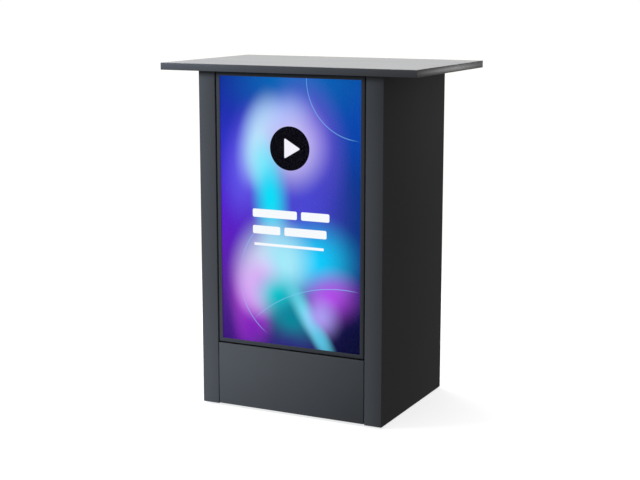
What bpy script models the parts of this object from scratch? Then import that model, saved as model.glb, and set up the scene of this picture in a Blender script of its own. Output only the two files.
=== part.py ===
"""A free-standing touchscreen counter kiosk: a folded steel cabinet with a laminated counter top,
a portrait touch display in its front, a lockable service door at the back and four levelling feet.

Metres, +Z up. The origin is on the floor under the middle of the counter top. The front faces -Y.
"""

from math import cos, pi, radians, sin

import bmesh
import bpy
from mathutils import Matrix, Vector

OBJECT_NAME = "touchscreen_kiosk"

# Driving dimensions
GAP = 0.0003
SHEET = 0.0015
FOLD_RADIUS = 0.002

TOP_WIDTH = 0.974
TOP_DEPTH = 0.630
TOP_HEIGHT = 1.237
TOP_THICKNESS = 0.025
LAMINATE = 0.001
EDGE_BAND = 0.002
EDGE_RADIUS = 0.0012
FRONT_OVERHANG = 0.039

BODY_WIDTH = 0.710
BODY_DEPTH = 0.556
BODY_BOTTOM = 0.006

ACTIVE_WIDTH = 0.543
ACTIVE_HEIGHT = 0.9412
ACTIVE_BOTTOM = 0.2545
BEZEL_BORDER = 0.0142
BEZEL_SETBACK = 0.002
BEZEL_DEPTH = 0.043
BEZEL_SHEET = 0.002
DISPLAY_SIDE_GAP = 0.004

LOWER_PANEL_TOP = 0.235
PANEL_GAP = 0.002
PANEL_RETURN = 0.020
PILLAR_RETURN = 0.025
REAR_FLANGE = 0.045
REAR_RETURN = 0.020

SILL_TOP = 0.085
HEADER_BOTTOM = 1.165
RAIL_DEPTH = 0.024
DOOR_GAP = 0.002
DOOR_RETURN = 0.018

SHELF_HEIGHT = 0.620
SHELF_FLANGE = 0.025
SHELF_FRONT = -0.150
SHELF_BACK = 0.235

TOP_RAIL_WIDTH = 0.030
TOP_RAIL_FRONT = -0.240
CROSSBAR_HEIGHTS = {"upper": 0.930, "lower": 0.480}
CROSSBAR_WIDTH = 0.040
MOUNT_RAIL_INNER = 0.085
MOUNT_RAIL_OUTER = 0.115
MOUNT_RAIL_BOTTOM = 0.440
MOUNT_RAIL_TOP = 1.010

FOOT_X = 0.315
FOOT_INSET = 0.050
FOOT_RADIUS = 0.020
FOOT_HEIGHT = 0.0055
SPINDLE_RADIUS = 0.004
SPINDLE_TOP = 0.055
NUT_HEIGHT = 0.008

HINGE_HEIGHTS = {"upper": 1.050, "lower": 0.200}
HINGE_LENGTH = 0.070
HINGE_PLATE = 0.002
KNUCKLE_RADIUS = 0.0045
KNUCKLE_LENGTH = 0.022
KNUCKLE_GAP = 0.0005
HINGE_PIN_RADIUS = 0.0025
HINGE_OFFSET = 0.006

LOCK_X = -0.278
LOCK_Z = 0.660
LOCK_RADIUS = 0.009
BARREL_RADIUS = 0.006
CAM_LENGTH = 0.042
CAM_THICKNESS = 0.003

INLET_X = -0.200
INLET_Z = 0.046
INLET_DEPTH = 0.028
ROCKER_TILT = radians(7)

PLAYER_SIDE = 0.100
PLAYER_BOTTOM = 0.660
PLAYER_TOP = 0.790
PLAYER_DEPTH = 0.034
BUTTON_RADIUS = 0.004
BUTTON_INSET = 0.020
BUTTON_RISE = 0.030

BLOCK_LEFT = -0.220
BLOCK_RIGHT = 0.000
BLOCK_SETBACK = 0.041
BLOCK_DEPTH = 0.045
BLOCK_HEIGHT = 0.040

LEAD_RADIUS = 0.004
SIGNAL_LEAD_RADIUS = 0.003
FLOOR_LEAD_X = -0.285
CLIP_PLACES = (0.055, -0.055)
DISPLAY_LEAD_X = -0.180
PLAYER_LEAD_X = -0.045
VIDEO_LEAD_X = 0.045
VIDEO_LEAD_TOP = 0.868

# Worked-out places
UNDERSIDE = TOP_HEIGHT - TOP_THICKNESS
BODY_FRONT = -TOP_DEPTH / 2 + FRONT_OVERHANG
BODY_BACK = BODY_FRONT + BODY_DEPTH
BODY_SIDE = BODY_WIDTH / 2
INNER_SIDE = BODY_SIDE - SHEET - GAP
BEZEL_SIDE = ACTIVE_WIDTH / 2 + BEZEL_BORDER
BEZEL_BOTTOM = ACTIVE_BOTTOM - BEZEL_BORDER
ACTIVE_TOP = ACTIVE_BOTTOM + ACTIVE_HEIGHT
BEZEL_TOP = ACTIVE_TOP + BEZEL_BORDER
OPENING_SIDE = BEZEL_SIDE + DISPLAY_SIDE_GAP
REAR_OPENING_SIDE = BODY_SIDE - REAR_FLANGE
DOOR_SIDE = REAR_OPENING_SIDE - DOOR_GAP
BODY_TOP = UNDERSIDE - GAP
FLOOR_TOP = BODY_BOTTOM + SHEET + GAP
HINGE_X = REAR_OPENING_SIDE - DOOR_GAP / 2
HINGE_Y = BODY_BACK + HINGE_OFFSET
FOOT_PLACES = {
    "front_left": (-FOOT_X, BODY_FRONT + FOOT_INSET),
    "front_right": (FOOT_X, BODY_FRONT + FOOT_INSET),
    "rear_left": (-FOOT_X, BODY_BACK - FOOT_INSET),
    "rear_right": (FOOT_X, BODY_BACK - FOOT_INSET),
}

BLOCK_FRONT = BODY_FRONT + BLOCK_SETBACK
BLOCK_MIDDLE = BLOCK_FRONT + BLOCK_DEPTH / 2
BLOCK_TOP = FLOOR_TOP + BLOCK_HEIGHT

# Depths behind the front of the body
GLASS_FRONT = BODY_FRONT + BEZEL_SETBACK + BEZEL_SHEET + 0.0005
GLASS_THICKNESS = 0.003
PANEL_FRONT = GLASS_FRONT + GLASS_THICKNESS + 0.0008
PANEL_THICKNESS = 0.0017
TRAY_FRONT = PANEL_FRONT + PANEL_THICKNESS + GAP
TRAY_DEPTH = 0.0135
COVER_FRONT = TRAY_FRONT + TRAY_DEPTH + GAP
COVER_DEPTH = 0.0377
COVER_BACK = COVER_FRONT + COVER_DEPTH
COVER_SIDE = 0.250
COVER_BOTTOM = 0.290
COVER_TOP = 1.160
MOUNT_DEPTH = 0.020
MOUNT_BACK = COVER_BACK + GAP + MOUNT_DEPTH
CROSSBAR_BACK = MOUNT_BACK + GAP + MOUNT_DEPTH
PLAYER_FRONT = MOUNT_BACK + GAP + SHEET + GAP
PLAYER_BACK = PLAYER_FRONT + PLAYER_DEPTH

# Corners sharper than this stay crisp on a round piece
CRISP_ANGLE = radians(35)


def clear_scene():
    for obj in list(bpy.data.objects):
        bpy.data.objects.remove(obj, do_unlink=True)


def new_collection(name, hidden=False):
    group = bpy.data.collections.new(name)
    bpy.context.scene.collection.children.link(group)
    group.hide_render = hidden
    return group


def new_material(name, colour, roughness, metallic=0.0):
    finish = bpy.data.materials.new(name)
    finish.use_nodes = True
    shader = finish.node_tree.nodes["Principled BSDF"]
    shader.inputs["Base Color"].default_value = (*colour, 1.0)
    shader.inputs["Roughness"].default_value = roughness
    shader.inputs["Metallic"].default_value = metallic
    finish.diffuse_color = (*colour, 1.0)
    return finish


FINISHES = {
    "powder_coat": ((0.052, 0.058, 0.068), 0.48, 0.0),
    "zinc_steel": ((0.42, 0.43, 0.44), 0.42, 1.0),
    "laminate": ((0.060, 0.064, 0.070), 0.30, 0.0),
    "edge_band": ((0.050, 0.053, 0.060), 0.38, 0.0),
    "board_core": ((0.44, 0.33, 0.21), 0.80, 0.0),
    "bezel": ((0.055, 0.060, 0.068), 0.36, 0.0),
    "cover_glass": ((0.02, 0.02, 0.025), 0.04, 0.0),
    "lcd": ((0.06, 0.10, 0.45), 0.20, 0.0),
    "diffuser": ((0.85, 0.86, 0.88), 0.50, 0.0),
    "circuit_board": ((0.02, 0.16, 0.07), 0.45, 0.0),
    "black_plastic": ((0.020, 0.020, 0.022), 0.45, 0.0),
    "rubber": ((0.014, 0.014, 0.014), 0.75, 0.0),
    "nickel": ((0.60, 0.59, 0.56), 0.25, 1.0),
    "cable_jacket": ((0.018, 0.018, 0.020), 0.55, 0.0),
}


def group_into(obj, collection):
    for old in list(obj.users_collection):
        old.objects.unlink(obj)
    collection.objects.link(obj)


def finish_part(obj, name, finish):
    obj.name = name
    obj.data.name = name
    obj.data.materials.clear()
    obj.data.materials.append(MATERIALS[finish])
    group_into(obj, PARTS)
    return obj


def apply_scale(obj):
    obj.data.transform(Matrix.Diagonal((*obj.scale, 1.0)))
    obj.scale = (1.0, 1.0, 1.0)


def add_box(low, high):
    low, high = Vector(low), Vector(high)
    bpy.ops.mesh.primitive_cube_add(size=1.0, location=(low + high) / 2)
    obj = bpy.context.object
    obj.scale = high - low
    apply_scale(obj)
    return obj


def bevel(obj, width, segments=2, angle=30):
    modifier = obj.modifiers.new("rounded edges", "BEVEL")
    modifier.width = width
    modifier.segments = segments
    modifier.limit_method = "ANGLE"
    modifier.angle_limit = radians(angle)
    return obj


def solid_box(name, low, high, finish, round_edge=0.0, segments=2):
    obj = finish_part(add_box(low, high), name, finish)
    if round_edge:
        bevel(obj, round_edge, segments)
    return obj


def solidify(obj, thickness):
    modifier = obj.modifiers.new("sheet", "SOLIDIFY")
    modifier.thickness = thickness
    modifier.offset = -1.0
    modifier.use_even_offset = True
    return obj


FACE_NORMALS = {
    "-X": Vector((-1, 0, 0)),
    "+X": Vector((1, 0, 0)),
    "-Y": Vector((0, -1, 0)),
    "+Y": Vector((0, 1, 0)),
    "-Z": Vector((0, 0, -1)),
    "+Z": Vector((0, 0, 1)),
}


def folded_box(name, low, high, open_sides, finish, sheet=SHEET, fold=FOLD_RADIUS):
    """A box of bent sheet, left open on the named sides."""
    obj = finish_part(add_box(low, high), name, finish)
    mesh = bmesh.new()
    mesh.from_mesh(obj.data)
    open_normals = [FACE_NORMALS[side] for side in open_sides]
    removed = [face for face in mesh.faces if any(face.normal.dot(n) > 0.9 for n in open_normals)]
    bmesh.ops.delete(mesh, geom=removed, context="FACES")
    mesh.to_mesh(obj.data)
    mesh.free()
    bevel(obj, fold)
    return solidify(obj, sheet)


def helper(obj, name):
    obj.name = name
    obj.hide_render = True
    obj.display_type = "WIRE"
    group_into(obj, CUTTERS)
    return obj


def boolean(obj, operand, operation="DIFFERENCE"):
    modifier = obj.modifiers.new(operand.name, "BOOLEAN")
    modifier.operation = operation
    modifier.object = operand
    return obj


def box_helper(name, low, high):
    return helper(add_box(low, high), name)


def cylinder_helper(name, radius, start, end, sides=32):
    start, end = Vector(start), Vector(end)
    along = end - start
    bpy.ops.mesh.primitive_cylinder_add(
        vertices=sides, radius=radius, depth=along.length, location=(start + end) / 2
    )
    obj = bpy.context.object
    obj.rotation_euler = along.to_track_quat("Z", "Y").to_euler()
    return helper(obj, name)


def joined_boxes_helper(name, boxes):
    """One helper made of several boxes that stand apart."""
    mesh = bmesh.new()
    for low, high in boxes:
        low, high = Vector(low), Vector(high)
        place = Matrix.Translation((low + high) / 2) @ Matrix.Diagonal((*(high - low), 1.0))
        bmesh.ops.create_cube(mesh, size=1.0, matrix=place)
    data = bpy.data.meshes.new(name)
    mesh.to_mesh(data)
    mesh.free()
    return helper(bpy.data.objects.new(name, data), name)


def round_shading_group():
    """Nodes that shade a mesh smooth, but for its crisp corners."""
    group = bpy.data.node_groups.new("round shading", "GeometryNodeTree")
    group.is_modifier = True
    for direction in ("INPUT", "OUTPUT"):
        group.interface.new_socket("Geometry", in_out=direction, socket_type="NodeSocketGeometry")
    nodes, links = group.nodes, group.links
    smooth = nodes.new("GeometryNodeSetShadeSmooth")
    crisp = nodes.new("GeometryNodeSetShadeSmooth")
    crisp.domain = "EDGE"
    crisp.inputs["Shade Smooth"].default_value = False
    corner = nodes.new("GeometryNodeInputMeshEdgeAngle")
    over = nodes.new("FunctionNodeCompare")
    over.operation = "GREATER_THAN"
    over.inputs[1].default_value = CRISP_ANGLE
    links.new(corner.outputs["Unsigned Angle"], over.inputs[0])
    links.new(over.outputs["Result"], crisp.inputs["Selection"])
    chain = (nodes.new("NodeGroupInput"), smooth, crisp, nodes.new("NodeGroupOutput"))
    for first, second in zip(chain, chain[1:]):
        links.new(first.outputs[0], second.inputs[0])
    return group


def shade_round(obj):
    modifier = obj.modifiers.new("round shading", "NODES")
    modifier.node_group = ROUND_SHADING
    return obj


def turned(name, profile, finish, place, closed=False, steps=32, lay_along_y=False):
    """A turned piece from (radius, height) points that run down its outer side."""
    mesh = bmesh.new()
    corners = [mesh.verts.new((radius, 0.0, height)) for radius, height in profile]
    for first, second in zip(corners, corners[1:]):
        mesh.edges.new((first, second))
    if closed:
        mesh.edges.new((corners[-1], corners[0]))
    data = bpy.data.meshes.new(name)
    mesh.to_mesh(data)
    mesh.free()
    obj = finish_part(bpy.data.objects.new(name, data), name, finish)
    obj.location = place
    if lay_along_y:
        obj.rotation_euler = (-pi / 2, 0.0, 0.0)
    screw = obj.modifiers.new("turned", "SCREW")
    screw.axis = "Z"
    screw.angle = 2 * pi
    screw.steps = steps
    screw.render_steps = steps
    screw.use_merge_vertices = True
    screw.merge_threshold = 0.00001
    return shade_round(obj)


def flat_outline(name, points, thickness, finish, place, turn):
    """A flat plate cut to a closed outline of (x, y) points, turned into place."""
    curve = bpy.data.curves.new(name, "CURVE")
    curve.dimensions = "2D"
    curve.fill_mode = "BOTH"
    curve.extrude = thickness / 2
    spline = curve.splines.new("POLY")
    spline.points.add(len(points) - 1)
    for point, (x, y) in zip(spline.points, points):
        point.co = (x, y, 0.0, 1.0)
    spline.use_cyclic_u = True
    obj = finish_part(bpy.data.objects.new(name, curve), name, finish)
    obj.location = place
    obj.rotation_euler = turn
    return obj


def empty_on_axis(name, place):
    axis = bpy.data.objects.new(name, None)
    axis.location = place
    axis.empty_display_size = 0.05
    PARTS.objects.link(axis)
    return axis


def parent_to(children, axis):
    bpy.context.view_layer.update()
    for child in children:
        child.parent = axis
        child.matrix_parent_inverse = axis.matrix_world.inverted()


def mirrored_copy(obj, name, finish):
    copy = obj.copy()
    copy.data = obj.data.copy()
    copy.data.transform(Matrix.Scale(-1.0, 4, (1.0, 0.0, 0.0)))
    copy.data.flip_normals()
    copy.location.x = -obj.location.x
    return finish_part(copy, name, finish)


def make_counter_top():
    half_width, half_depth = TOP_WIDTH / 2, TOP_DEPTH / 2
    inner_width, inner_depth = half_width - EDGE_BAND, half_depth - EDGE_BAND
    core_width, core_depth = inner_width - GAP, inner_depth - GAP
    laminate_bottom = TOP_HEIGHT - LAMINATE
    solid_box(
        "top_core",
        (-core_width, -core_depth, UNDERSIDE),
        (core_width, core_depth, laminate_bottom - GAP),
        "board_core",
    )
    solid_box(
        "top_laminate",
        (-core_width, -core_depth, laminate_bottom),
        (core_width, core_depth, TOP_HEIGHT),
        "laminate",
    )
    band = solid_box(
        "edge_band",
        (-half_width, -half_depth, UNDERSIDE),
        (half_width, half_depth, TOP_HEIGHT),
        "edge_band",
        EDGE_RADIUS,
    )
    hole = box_helper(
        "edge_band_hole",
        (-inner_width, -inner_depth, UNDERSIDE - EDGE_BAND),
        (inner_width, inner_depth, TOP_HEIGHT + EDGE_BAND),
    )
    boolean(band, hole)


def make_casings():
    """Each side of the cabinet is one bent sheet: front pillar, side wall and rear flange."""
    plan = (
        (OPENING_SIDE, BODY_FRONT + PILLAR_RETURN),
        (OPENING_SIDE, BODY_FRONT),
        (BODY_SIDE, BODY_FRONT),
        (BODY_SIDE, BODY_BACK),
        (REAR_OPENING_SIDE, BODY_BACK),
        (REAR_OPENING_SIDE, BODY_BACK - REAR_RETURN),
    )
    mesh = bmesh.new()
    corners = [mesh.verts.new((x, y, BODY_BOTTOM)) for x, y in plan]
    edges = [mesh.edges.new(pair) for pair in zip(corners, corners[1:])]
    raised = bmesh.ops.extrude_edge_only(mesh, edges=edges)["geom"]
    raised_corners = [item for item in raised if isinstance(item, bmesh.types.BMVert)]
    bmesh.ops.translate(mesh, verts=raised_corners, vec=(0.0, 0.0, BODY_TOP - BODY_BOTTOM))
    mesh.normal_update()
    widest = max(mesh.faces, key=lambda face: face.calc_area())
    if widest.normal.x < 0:
        bmesh.ops.reverse_faces(mesh, faces=mesh.faces)
    data = bpy.data.meshes.new("right_casing")
    mesh.to_mesh(data)
    mesh.free()
    right = finish_part(bpy.data.objects.new("right_casing", data), "right_casing", "powder_coat")
    bevel(right, FOLD_RADIUS)
    solidify(right, SHEET)
    mirrored_copy(right, "left_casing", "powder_coat")


def make_base_pan():
    pan = folded_box(
        "base_pan",
        (-INNER_SIDE, BODY_FRONT + PILLAR_RETURN + 2 * GAP, BODY_BOTTOM),
        (INNER_SIDE, BODY_BACK - RAIL_DEPTH - 2 * GAP, BODY_BOTTOM + PILLAR_RETURN),
        ("+Z",),
        "zinc_steel",
    )
    for place, (x, y) in FOOT_PLACES.items():
        hole = cylinder_helper(
            f"spindle_hole_{place}",
            SPINDLE_RADIUS + 2 * GAP,
            (x, y, 0.0),
            (x, y, SPINDLE_TOP),
        )
        boolean(pan, hole)


def make_frame():
    """The channels and rails that tie the two casings together."""
    folded_box(
        "lower_front_panel",
        (-OPENING_SIDE + PANEL_GAP, BODY_FRONT, BODY_BOTTOM + DOOR_GAP),
        (OPENING_SIDE - PANEL_GAP, BODY_FRONT + PANEL_RETURN, LOWER_PANEL_TOP),
        ("+Y",),
        "powder_coat",
    )
    rail_side = REAR_OPENING_SIDE - 2 * GAP
    folded_box(
        "rear_header",
        (-rail_side, BODY_BACK - RAIL_DEPTH, HEADER_BOTTOM),
        (rail_side, BODY_BACK, BODY_TOP),
        ("-X", "+X", "-Y"),
        "powder_coat",
    )
    sill = folded_box(
        "rear_sill",
        (-rail_side, BODY_BACK - RAIL_DEPTH, BODY_BOTTOM),
        (rail_side, BODY_BACK, SILL_TOP),
        ("-X", "+X", "-Y"),
        "powder_coat",
    )
    boolean(sill, inlet_cutter())
    top_rail = folded_box(
        "top_rail_right",
        (INNER_SIDE - TOP_RAIL_WIDTH, TOP_RAIL_FRONT, BODY_TOP - TOP_RAIL_WIDTH),
        (INNER_SIDE, SHELF_BACK, BODY_TOP - GAP),
        ("-X", "-Y", "+Y", "-Z"),
        "zinc_steel",
    )
    mirrored_copy(top_rail, "top_rail_left", "zinc_steel")
    for level, z in CROSSBAR_HEIGHTS.items():
        folded_box(
            f"crossbar_{level}",
            (-INNER_SIDE, CROSSBAR_BACK - MOUNT_DEPTH, z),
            (INNER_SIDE, CROSSBAR_BACK, z + CROSSBAR_WIDTH),
            ("-X", "+X", "+Y"),
            "zinc_steel",
        )
    mount_rail = folded_box(
        "mount_rail_right",
        (MOUNT_RAIL_INNER, MOUNT_BACK - MOUNT_DEPTH, MOUNT_RAIL_BOTTOM),
        (MOUNT_RAIL_OUTER, MOUNT_BACK, MOUNT_RAIL_TOP),
        ("+Y", "-Z", "+Z"),
        "zinc_steel",
    )
    mirrored_copy(mount_rail, "mount_rail_left", "zinc_steel")
    folded_box(
        "shelf",
        (-INNER_SIDE, SHELF_FRONT, SHELF_HEIGHT - SHELF_FLANGE),
        (INNER_SIDE, SHELF_BACK, SHELF_HEIGHT),
        ("-Z",),
        "powder_coat",
    )


def make_display():
    """The front of the display module: bezel, touch glass, panel and backlight."""
    bezel = folded_box(
        "display_bezel",
        (-BEZEL_SIDE, BODY_FRONT + BEZEL_SETBACK, BEZEL_BOTTOM),
        (BEZEL_SIDE, BODY_FRONT + BEZEL_SETBACK + BEZEL_DEPTH, BEZEL_TOP),
        ("+Y",),
        "bezel",
        sheet=BEZEL_SHEET,
        fold=FOLD_RADIUS + GAP,
    )
    window = box_helper(
        "bezel_window",
        (-ACTIVE_WIDTH / 2, BODY_FRONT - PANEL_RETURN, ACTIVE_BOTTOM),
        (ACTIVE_WIDTH / 2, BODY_FRONT + PANEL_RETURN, ACTIVE_TOP),
    )
    boolean(bezel, window)
    glass_margin = 0.0025
    solid_box(
        "touch_glass",
        (-BEZEL_SIDE + glass_margin, GLASS_FRONT, BEZEL_BOTTOM + glass_margin),
        (BEZEL_SIDE - glass_margin, GLASS_FRONT + GLASS_THICKNESS, BEZEL_TOP - glass_margin),
        "cover_glass",
    )
    panel_margin = 0.0075
    solid_box(
        "lcd_panel",
        (-BEZEL_SIDE + panel_margin, PANEL_FRONT, BEZEL_BOTTOM + panel_margin),
        (BEZEL_SIDE - panel_margin, PANEL_FRONT + PANEL_THICKNESS, BEZEL_TOP - panel_margin),
        "lcd",
    )
    diffuser_setback, diffuser_thickness = 0.001, 0.002
    diffuser_front = TRAY_FRONT + diffuser_setback
    diffuser_back = diffuser_front + diffuser_thickness
    solid_box(
        "diffuser_sheet",
        (-BEZEL_SIDE + panel_margin, diffuser_front, BEZEL_BOTTOM + panel_margin),
        (BEZEL_SIDE - panel_margin, diffuser_back, BEZEL_TOP - panel_margin),
        "diffuser",
    )
    tray_margin = 0.0055
    folded_box(
        "backlight_tray",
        (-BEZEL_SIDE + tray_margin, TRAY_FRONT, BEZEL_BOTTOM + tray_margin),
        (BEZEL_SIDE - tray_margin, TRAY_FRONT + TRAY_DEPTH, BEZEL_TOP - tray_margin),
        ("-Y",),
        "zinc_steel",
        sheet=0.001,
        fold=0.0015,
    )


def make_display_electronics():
    """The slotted cover on the display's back, and the two boards inside it."""
    cover = folded_box(
        "display_rear_cover",
        (-COVER_SIDE, COVER_FRONT, COVER_BOTTOM),
        (COVER_SIDE, COVER_BACK, COVER_TOP),
        ("-Y",),
        "black_plastic",
        sheet=0.002,
        fold=0.003,
    )
    slots_below_top = 0.060
    slots = slot_boxes(0.0, COVER_TOP - slots_below_top, COVER_BACK, count=9, width=0.260)
    boolean(cover, joined_boxes_helper("cover_slots", slots))
    board_setback, board_thickness = 0.006, 0.0016
    board_front = COVER_FRONT + board_setback
    for name, left, right, bottom, top in (
        ("display_driver_board", -0.190, 0.020, 0.600, 0.780),
        ("display_power_board", 0.050, 0.200, 0.560, 0.800),
    ):
        solid_box(
            name,
            (left, board_front, bottom),
            (right, board_front + board_thickness, top),
            "circuit_board",
        )


def slot_boxes(x, z, y, count, width):
    """A stack of horizontal slots through a sheet at depth y, from z down."""
    slot_height, pitch, reach = 0.0035, 0.010, 0.006
    boxes = []
    for row in range(count):
        top = z - row * pitch
        low = (x - width / 2, y - reach, top - slot_height)
        boxes.append((low, (x + width / 2, y + reach, top)))
    return boxes


def make_door():
    door = folded_box(
        "rear_door",
        (-DOOR_SIDE, BODY_BACK - DOOR_RETURN, SILL_TOP + DOOR_GAP),
        (DOOR_SIDE, BODY_BACK, HEADER_BOTTOM - DOOR_GAP),
        ("-Y",),
        "powder_coat",
    )
    slots = []
    slot_tops = (HEADER_BOTTOM - 0.060, SILL_TOP + 0.250)
    slot_x = 0.130
    for z in slot_tops:
        for x in (-slot_x, slot_x):
            slots += slot_boxes(x, z, BODY_BACK, count=8, width=0.140)
    boolean(door, joined_boxes_helper("door_slots", slots))
    lock_hole = cylinder_helper(
        "lock_hole",
        LOCK_RADIUS + GAP,
        (LOCK_X, BODY_BACK - DOOR_RETURN / 2, LOCK_Z),
        (LOCK_X, BODY_BACK + DOOR_RETURN, LOCK_Z),
    )
    boolean(door, lock_hole)
    stiffener_half, stiffener_depth, stiffener_inset = 0.020, 0.012, 0.035
    stiffener_back = BODY_BACK - SHEET - GAP
    stiffener = folded_box(
        "door_stiffener",
        (-stiffener_half, stiffener_back - stiffener_depth, SILL_TOP + stiffener_inset),
        (stiffener_half, stiffener_back, HEADER_BOTTOM - stiffener_inset),
        ("+Y", "-Z", "+Z"),
        "zinc_steel",
    )
    pieces = [door, stiffener]
    for level, z in HINGE_HEIGHTS.items():
        reach = HINGE_LENGTH / 2
        ends = ((z - reach, z - reach + KNUCKLE_LENGTH), (z + reach - KNUCKLE_LENGTH, z + reach))
        middle = ((ends[0][1] + KNUCKLE_GAP, ends[1][0] - KNUCKLE_GAP),)
        hinge_leaf(f"hinge_{level}_frame_leaf", 1, z, ends)
        pieces.append(hinge_leaf(f"hinge_{level}_door_leaf", -1, z, middle))
        hinge_pin(f"hinge_{level}_pin", z)
    pieces += make_lock()
    parent_to(pieces, empty_on_axis("door_axis", (HINGE_X, HINGE_Y, 0.0)))


def hinge_leaf(name, side, z, knuckles):
    """A leaf on the back of the cabinet, with its knuckles round the pin."""
    near, far, low_y = 0.0055, 0.0280, BODY_BACK + GAP
    xs = sorted((HINGE_X + side * near, HINGE_X + side * far))
    leaf = solid_box(
        name,
        (xs[0], low_y, z - HINGE_LENGTH / 2),
        (xs[1], low_y + HINGE_PLATE, z + HINGE_LENGTH / 2),
        "zinc_steel",
    )
    for number, (bottom, top) in enumerate(knuckles):
        tab_xs = sorted((HINGE_X, HINGE_X + side * (near + HINGE_PLATE)))
        tab = box_helper(
            f"{name}_tab_{number}",
            (tab_xs[0], low_y, bottom),
            (tab_xs[1], low_y + HINGE_PLATE, top),
        )
        boolean(leaf, tab, "UNION")
        knuckle = cylinder_helper(
            f"{name}_knuckle_{number}",
            KNUCKLE_RADIUS,
            (HINGE_X, HINGE_Y, bottom),
            (HINGE_X, HINGE_Y, top),
            sides=24,
        )
        boolean(leaf, knuckle, "UNION")
    bore = cylinder_helper(
        f"{name}_bore",
        HINGE_PIN_RADIUS + GAP,
        (HINGE_X, HINGE_Y, z - HINGE_LENGTH),
        (HINGE_X, HINGE_Y, z + HINGE_LENGTH),
        sides=24,
    )
    boolean(leaf, bore)
    return shade_round(leaf)


def hinge_pin(name, z):
    reach, head_radius, head_height = HINGE_LENGTH / 2, 0.0040, 0.0015
    upper, lower = reach + GAP, -reach - GAP
    profile = (
        (0.0, upper + head_height),
        (head_radius, upper + head_height),
        (head_radius, upper),
        (HINGE_PIN_RADIUS, upper),
        (HINGE_PIN_RADIUS, lower),
        (head_radius, lower),
        (head_radius, lower - head_height),
        (0.0, lower - head_height),
    )
    turned(name, profile, "nickel", (HINGE_X, HINGE_Y, z), steps=24)


def make_lock():
    """A cam lock: housing and nut fixed in the door, barrel and cam that turn together."""
    centre = (LOCK_X, BODY_BACK, LOCK_Z)
    rim_radius, rim_height = 0.0115, 0.0028
    housing_end, bore = -0.0225, BARREL_RADIUS + GAP
    profile = (
        (bore, rim_height),
        (rim_radius - 0.001, rim_height),
        (rim_radius, rim_height - 0.001),
        (rim_radius, GAP),
        (LOCK_RADIUS, GAP),
        (LOCK_RADIUS, housing_end),
        (bore, housing_end),
    )
    housing = turned("lock_housing", profile, "nickel", centre, closed=True, lay_along_y=True)
    nut_radius, nut_height = 0.0138, 0.004
    nut = hex_nut(
        "lock_nut",
        nut_radius,
        nut_height,
        LOCK_RADIUS + GAP,
        (LOCK_X, BODY_BACK - SHEET - GAP - nut_height, LOCK_Z),
        along_y=True,
    )
    barrel_front, barrel_end = 0.0022, -0.0232
    barrel_profile = (
        (0.0, barrel_front),
        (BARREL_RADIUS, barrel_front),
        (BARREL_RADIUS, barrel_end),
        (0.0, barrel_end),
    )
    barrel = turned("lock_barrel", barrel_profile, "nickel", centre, lay_along_y=True)
    slot_half_width, slot_half_height, slot_depth = 0.0008, 0.0036, 0.005
    key_slot = box_helper(
        "key_slot",
        (LOCK_X - slot_half_width, BODY_BACK - slot_depth, LOCK_Z - slot_half_height),
        (LOCK_X + slot_half_width, BODY_BACK + slot_depth, LOCK_Z + slot_half_height),
    )
    boolean(barrel, key_slot)
    cam_y = BODY_BACK + barrel_end - GAP - CAM_THICKNESS / 2
    cam = flat_outline(
        "lock_cam",
        cam_outline(),
        CAM_THICKNESS,
        "zinc_steel",
        (LOCK_X, cam_y, LOCK_Z),
        (pi / 2, 0.0, 0.0),
    )
    lock_axis = empty_on_axis("lock_axis", centre)
    parent_to([barrel, cam], lock_axis)
    return [housing, nut, lock_axis]


def cam_outline():
    """A round hub with a narrower arm that hangs down to a rounded tip."""
    hub_radius, arm_half = 0.009, 0.006
    hub_start = -pi / 2 + radians(40)
    hub_sweep = 2 * pi - 2 * radians(40)
    hub_steps, tip_steps = 20, 8
    hub = []
    for step in range(hub_steps + 1):
        angle = hub_start + hub_sweep * step / hub_steps
        hub.append((hub_radius * cos(angle), hub_radius * sin(angle)))
    tip = []
    tip_centre = -CAM_LENGTH + arm_half
    for step in range(tip_steps + 1):
        angle = pi + pi * step / tip_steps
        tip.append((arm_half * cos(angle), tip_centre + arm_half * sin(angle)))
    return hub + tip


def hex_nut(name, radius, height, bore_radius, place, along_y=False):
    bpy.ops.mesh.primitive_cylinder_add(vertices=6, radius=radius, depth=height)
    nut = bpy.context.object
    nut.data.transform(Matrix.Translation((0.0, 0.0, height / 2)))
    nut.location = place
    direction = Vector((0.0, 1.0, 0.0)) if along_y else Vector((0.0, 0.0, 1.0))
    if along_y:
        nut.rotation_euler = (-pi / 2, 0.0, 0.0)
    finish_part(nut, name, "zinc_steel")
    start = Vector(place) - direction * height
    bore = cylinder_helper(f"{name}_bore", bore_radius, start, start + direction * 3 * height)
    boolean(nut, bore)
    return shade_round(nut)


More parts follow.
